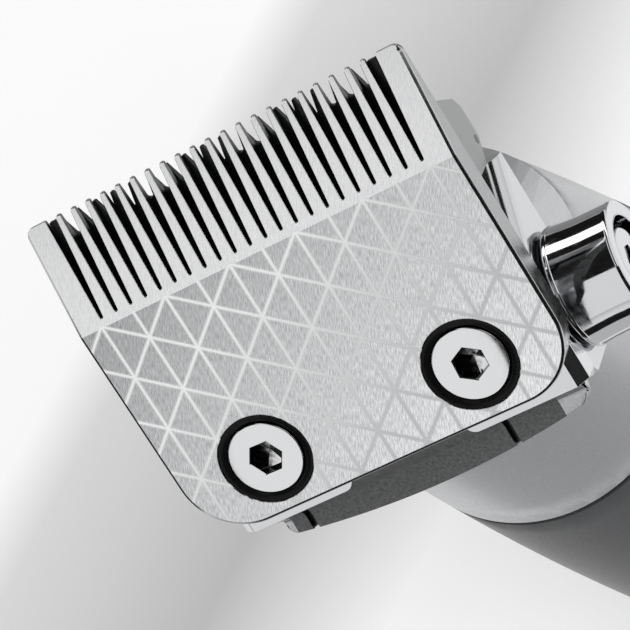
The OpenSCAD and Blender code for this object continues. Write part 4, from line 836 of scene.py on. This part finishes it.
# Painted shade inside the sockets, and a painted highlight at their foot towards one way of the blade.
inside = add(tree, "ShaderNodeMath", {0: axes["Z"], 1: SOCKET_SHADE_TOP_MM}, operation="LESS_THAN")
side_of = add(tree, "ShaderNodeMath", {0: axes["X"]}, operation="SIGN")
from_axis = add(tree, "ShaderNodeMath", {
    0: side_of.outputs[0], 1: -SCREW_MM[0], 2: axes["X"]}, operation="MULTIPLY_ADD")
back = add(tree, "ShaderNodeMath", {0: axes["Y"], 1: -SCREW_MM[1]}, operation="ADD")
highlight_x = add(tree, "ShaderNodeMath", {0: from_axis.outputs[0], 1: SOCKET_HIGHLIGHT_WAY[0]}, operation="MULTIPLY")
highlight_side = add(tree, "ShaderNodeMath", {
    0: back.outputs[0], 1: SOCKET_HIGHLIGHT_WAY[1], 2: highlight_x.outputs[0]}, operation="MULTIPLY_ADD")
highlight_marks = add(tree, "ShaderNodeTexNoise", {"Vector": on_blade, "Scale": 1 / SOCKET_HIGHLIGHT_MARK_MM, "Detail": 3.0})
ragged = add(tree, "ShaderNodeMath", {
    0: highlight_marks.outputs["Fac"], 1: SOCKET_HIGHLIGHT_RAGGED_MM, 2: highlight_side.outputs[0]}, operation="MULTIPLY_ADD")
deep = add(tree, "ShaderNodeMath", {0: axes["Z"], 1: SOCKET_HIGHLIGHT_TOP_MM}, operation="LESS_THAN")
highlight_ramp = add(tree, "ShaderNodeMapRange", {
    "Value": ragged.outputs[0], "From Min": SOCKET_HIGHLIGHT_RANGE_MM[0], "From Max": SOCKET_HIGHLIGHT_RANGE_MM[1]})
painted_highlight = add(tree, "ShaderNodeMath", {0: highlight_ramp.outputs["Result"], 1: deep.outputs[0]}, operation="MULTIPLY")
shaded_socket_colour = add(tree, "ShaderNodeMix", {
    "Factor": painted_highlight.outputs[0], MIX_A: linear("#48484A"), MIX_B: linear("#DCDCDD")}, data_type="RGBA")
screw_colour = add(tree, "ShaderNodeMix", {
    "Factor": inside.outputs[0], MIX_A: linear("#DEDFE0"), MIX_B: shaded_socket_colour.outputs[MIX_OUT]}, data_type="RGBA")
tree.links.new(screw_colour.outputs[MIX_OUT], shader.inputs["Base Color"])

bm = bmesh.new()
for side, turn in zip((-1, 1), SCREW_TURNS_DEG):
    screw = turned(bm, [(height, radius, 0) for height, radius in SHANK_MM]
                   + sweep((HEAD_TOP_MM - HEAD_ROUND_MM, HEAD_ROUND_AT_MM), HEAD_ROUND_MM, 0, 90, HEAD_ROUND_STEPS)
                   + hexagon_socket(HEAD_TOP_MM, *BLADE_SOCKET_MM))
    hole = Matrix.Translation((side * SCREW_MM[0], SCREW_MM[1], 0))
    bmesh.ops.transform(bm, matrix=to_blade @ hole @ Matrix.Rotation(math.radians(turn), 4, "Z"), verts=screw)
sharp_by_angle(bm, PLATED_SHARP_DEG)
finished(bm, "hexagon_screws", [polished_steel], "blade_screws", "comb")

# Floor: a plain pale paper sheet that the tail stands on.
# One soft grey band of painted shadow runs across it behind the head and fades out at both ends.
FLOOR_M = 4
SHADOW_BAND_WAY = (0.655, -0.755, 0)
SHADOW_BAND_RUN = (0.755, 0.655, 0)
SHADOW_BAND_MIDDLE_MM = -12
SHADOW_BAND_END_MM = (75, 190)
SHADOW_BAND_MM = ((-138, "#FCFCFC"), (-127, "#DADADA"), (-110, "#D0D0D0"), (-90, "#BEBEBE"), (-60, "#FFFFFF"))
# Matt paper: white and without shine, a little grey in the painted shadow band.
floor_paper, tree, shader = new_material("matt_white_paper", "#FFFFFF", 0.0, 0.8)
place = add(tree, "ShaderNodeTexCoord")
across = add(tree, "ShaderNodeVectorMath", {0: place.outputs["Object"], 1: SHADOW_BAND_WAY}, operation="DOT_PRODUCT")
shadow_band_start, shadow_band_end = SHADOW_BAND_MM[0][0], SHADOW_BAND_MM[-1][0]
where = add(tree, "ShaderNodeMapRange", {
    "Value": across.outputs["Value"], "From Min": shadow_band_start * MM, "From Max": shadow_band_end * MM})
painted_shadow_band = add(tree, "ShaderNodeValToRGB", {"Fac": where.outputs["Result"]})
stops = painted_shadow_band.color_ramp.elements
while len(stops) < len(SHADOW_BAND_MM):
    stops.new(0.5)
for stop, (at, colour) in zip(stops, SHADOW_BAND_MM):
    stop.position = (at - shadow_band_start) / (shadow_band_end - shadow_band_start)
    stop.color = linear(colour)
beside = add(tree, "ShaderNodeVectorMath", {0: place.outputs["Object"], 1: SHADOW_BAND_RUN}, operation="DOT_PRODUCT")
apart = add(tree, "ShaderNodeMath", {0: beside.outputs["Value"], 1: SHADOW_BAND_MIDDLE_MM * MM}, operation="SUBTRACT")
off = add(tree, "ShaderNodeMath", {0: apart.outputs[0]}, operation="ABSOLUTE")
gone = add(tree, "ShaderNodeMapRange", {
    "Value": off.outputs[0], "From Min": SHADOW_BAND_END_MM[0] * MM, "From Max": SHADOW_BAND_END_MM[1] * MM},
    interpolation_type="SMOOTHSTEP")
sheet = add(tree, "ShaderNodeMix", {
    "Factor": gone.outputs["Result"], MIX_A: painted_shadow_band.outputs["Color"], MIX_B: linear("#FCFCFC")}, data_type="RGBA")
tree.links.new(sheet.outputs[MIX_OUT], shader.inputs["Base Color"])
bm = bmesh.new()
bmesh.ops.create_grid(bm, x_segments=1, y_segments=1, size=FLOOR_M)
with_mesh(bm, "floor", [floor_paper])

# Light: a pale studio all round, with a soft fill from the upper front right and a strip lamp behind.
# Black cloths bent round the lever's axis, black cards and grey felts stand where the polished metal shows
# dark bands. Only reflections see them, so they take no light from the part and cast no shadow.
WORLD_LIGHT = 0.62
WORLD_SEEN = 0.96
CLOTH_R_MM = 400
CLOTH_STEPS = 8
HEAD_MM = (0, -12, 158)
# Velvet: black whatever falls on it. Felts: an even pale grey and a mid grey, without shine.
black_card, _, _ = new_material("black_velvet_card", "#030303", 0.0, 0.9)
grey_card, _, _ = new_material("grey_felt_card", "#CCCCCC", 0.0, 0.9)
dark_card, _, _ = new_material("dark_felt_card", "#909090", 0.0, 0.9)
world = bpy.data.worlds.new("studio")
bpy.context.scene.world = world
world.use_nodes = True
tree = world.node_tree
rays = add(tree, "ShaderNodeLightPath").outputs
seen = add(tree, "ShaderNodeMath", {0: rays["Is Camera Ray"], 1: rays["Is Glossy Ray"]}, operation="MAXIMUM")
clear = add(tree, "ShaderNodeMath", {0: seen.outputs[0], 1: rays["Is Transmission Ray"]}, operation="MAXIMUM")
level = add(tree, "ShaderNodeMapRange", {"Value": clear.outputs[0], "To Min": WORLD_LIGHT, "To Max": WORLD_SEEN})
tree.links.new(level.outputs["Result"], tree.nodes["Background"].inputs["Strength"])
tree.nodes["Background"].inputs["Color"].default_value = linear("#FFFFFF")


def stand(made, place_mm, aim_mm):
    """Places a lamp or card so that its face looks at a point."""
    made.location = Vector(place_mm) * MM
    made.rotation_mode = "QUATERNION"
    made.rotation_quaternion = (Vector(aim_mm) - Vector(place_mm)).to_track_quat("-Z", "Y")
    made.visible_camera = False


def lamp(name, place_mm, aim_mm, size_mm, watts):
    """A soft rectangular lamp that doesn't show itself to the camera."""
    data = bpy.data.lights.new(name, "AREA")
    data.shape = "RECTANGLE"
    data.size = size_mm[0] * MM
    data.size_y = size_mm[1] * MM
    data.energy = watts
    made = bpy.data.objects.new(name, data)
    bpy.context.collection.objects.link(made)
    stand(made, place_mm, aim_mm)
    return made


def only_in_reflections(made):
    """A piece of the studio that nothing but a reflection shows."""
    made.visible_camera = False
    made.visible_shadow = False
    made.visible_diffuse = False


def card(name, place_mm, aim_mm, size_mm, material):
    """A flat card that looks at a point."""
    bpy.ops.mesh.primitive_plane_add(size=1)
    made = bpy.context.object
    made.name = name
    made.scale = (size_mm[0] * MM, size_mm[1] * MM, 1)
    made.data.materials.append(material)
    stand(made, place_mm, aim_mm)
    only_in_reflections(made)


def cloth(name, from_deg, to_deg, x_mm):
    """A black cloth bent round the lever's axis; its angle goes from straight up towards the front."""
    bm = bmesh.new()
    rows = []
    for k in range(CLOTH_STEPS + 1):
        turn = math.radians(from_deg + (to_deg - from_deg) * k / CLOTH_STEPS)
        y = LEVER_AXIS_MM[1] - CLOTH_R_MM * math.sin(turn)
        z = LEVER_AXIS_MM[2] + CLOTH_R_MM * math.cos(turn)
        rows.append([bm.verts.new((x * MM, y * MM, z * MM)) for x in x_mm])
    for low, high in zip(rows, rows[1:]):
        bm.faces.new((low[0], low[1], high[1], high[0]))
    only_in_reflections(with_mesh(bm, name, [black_card]))


fill = lamp("fill", (600, -500, 1200), HEAD_MM, (900, 900), 10)
# The fill would leave a white square in the chrome, so reflections leave it out.
fill.visible_glossy = False
lamp("behind", (125, 331, 347), (125, -12, 141), (750, 125), 0.42)
cloth("behind_cloth", -97, -68, (-330, 600))
cloth("over_cloth_left", -50, 24, (-330, -45))
cloth("over_cloth_right", -50, 24, (60, 300))
cloth("right_cloth", 24, 109, (-62, 1000))
cloth("left_cloth", 26, 109, (-1000, -300))
card("front_card", (-20, -223, 34), (-20, -12, 141), (400, 75), black_card)
card("left_card", (-311, -78, 110), HEAD_MM, (120, 160), black_card)
card("front_felt", (-90, -200, 2), (-90, -200, 200), (420, 300), grey_card)
card("behind_felt", (-150, 520, 2), (-150, 520, 200), (700, 760), dark_card)

# Camera: a long lens close over the comb from the front right.
# It is rolled so that the blade leans across the frame.
CAMERA_MM = Vector((134.95, -147.54, 442.60))
AIM_MM = Vector((1.07, -10.93, 160.0))
CAMERA_ROLL = math.radians(64.589)
SENSOR_MM = 36
LENS_MM = 192.36
NEAR_MM = 10
camera = bpy.data.objects.new("camera", bpy.data.cameras.new("camera"))
bpy.context.collection.objects.link(camera)
camera.location = CAMERA_MM * MM
camera.rotation_mode = "QUATERNION"
look = (AIM_MM - CAMERA_MM).to_track_quat("-Z", "Y")
camera.rotation_quaternion = look @ Euler((0, 0, -CAMERA_ROLL)).to_quaternion()
camera.data.sensor_width = SENSOR_MM
camera.data.lens = LENS_MM
camera.data.clip_start = NEAR_MM * MM
bpy.context.scene.camera = camera
bpy.context.scene.view_settings.view_transform = "Standard"
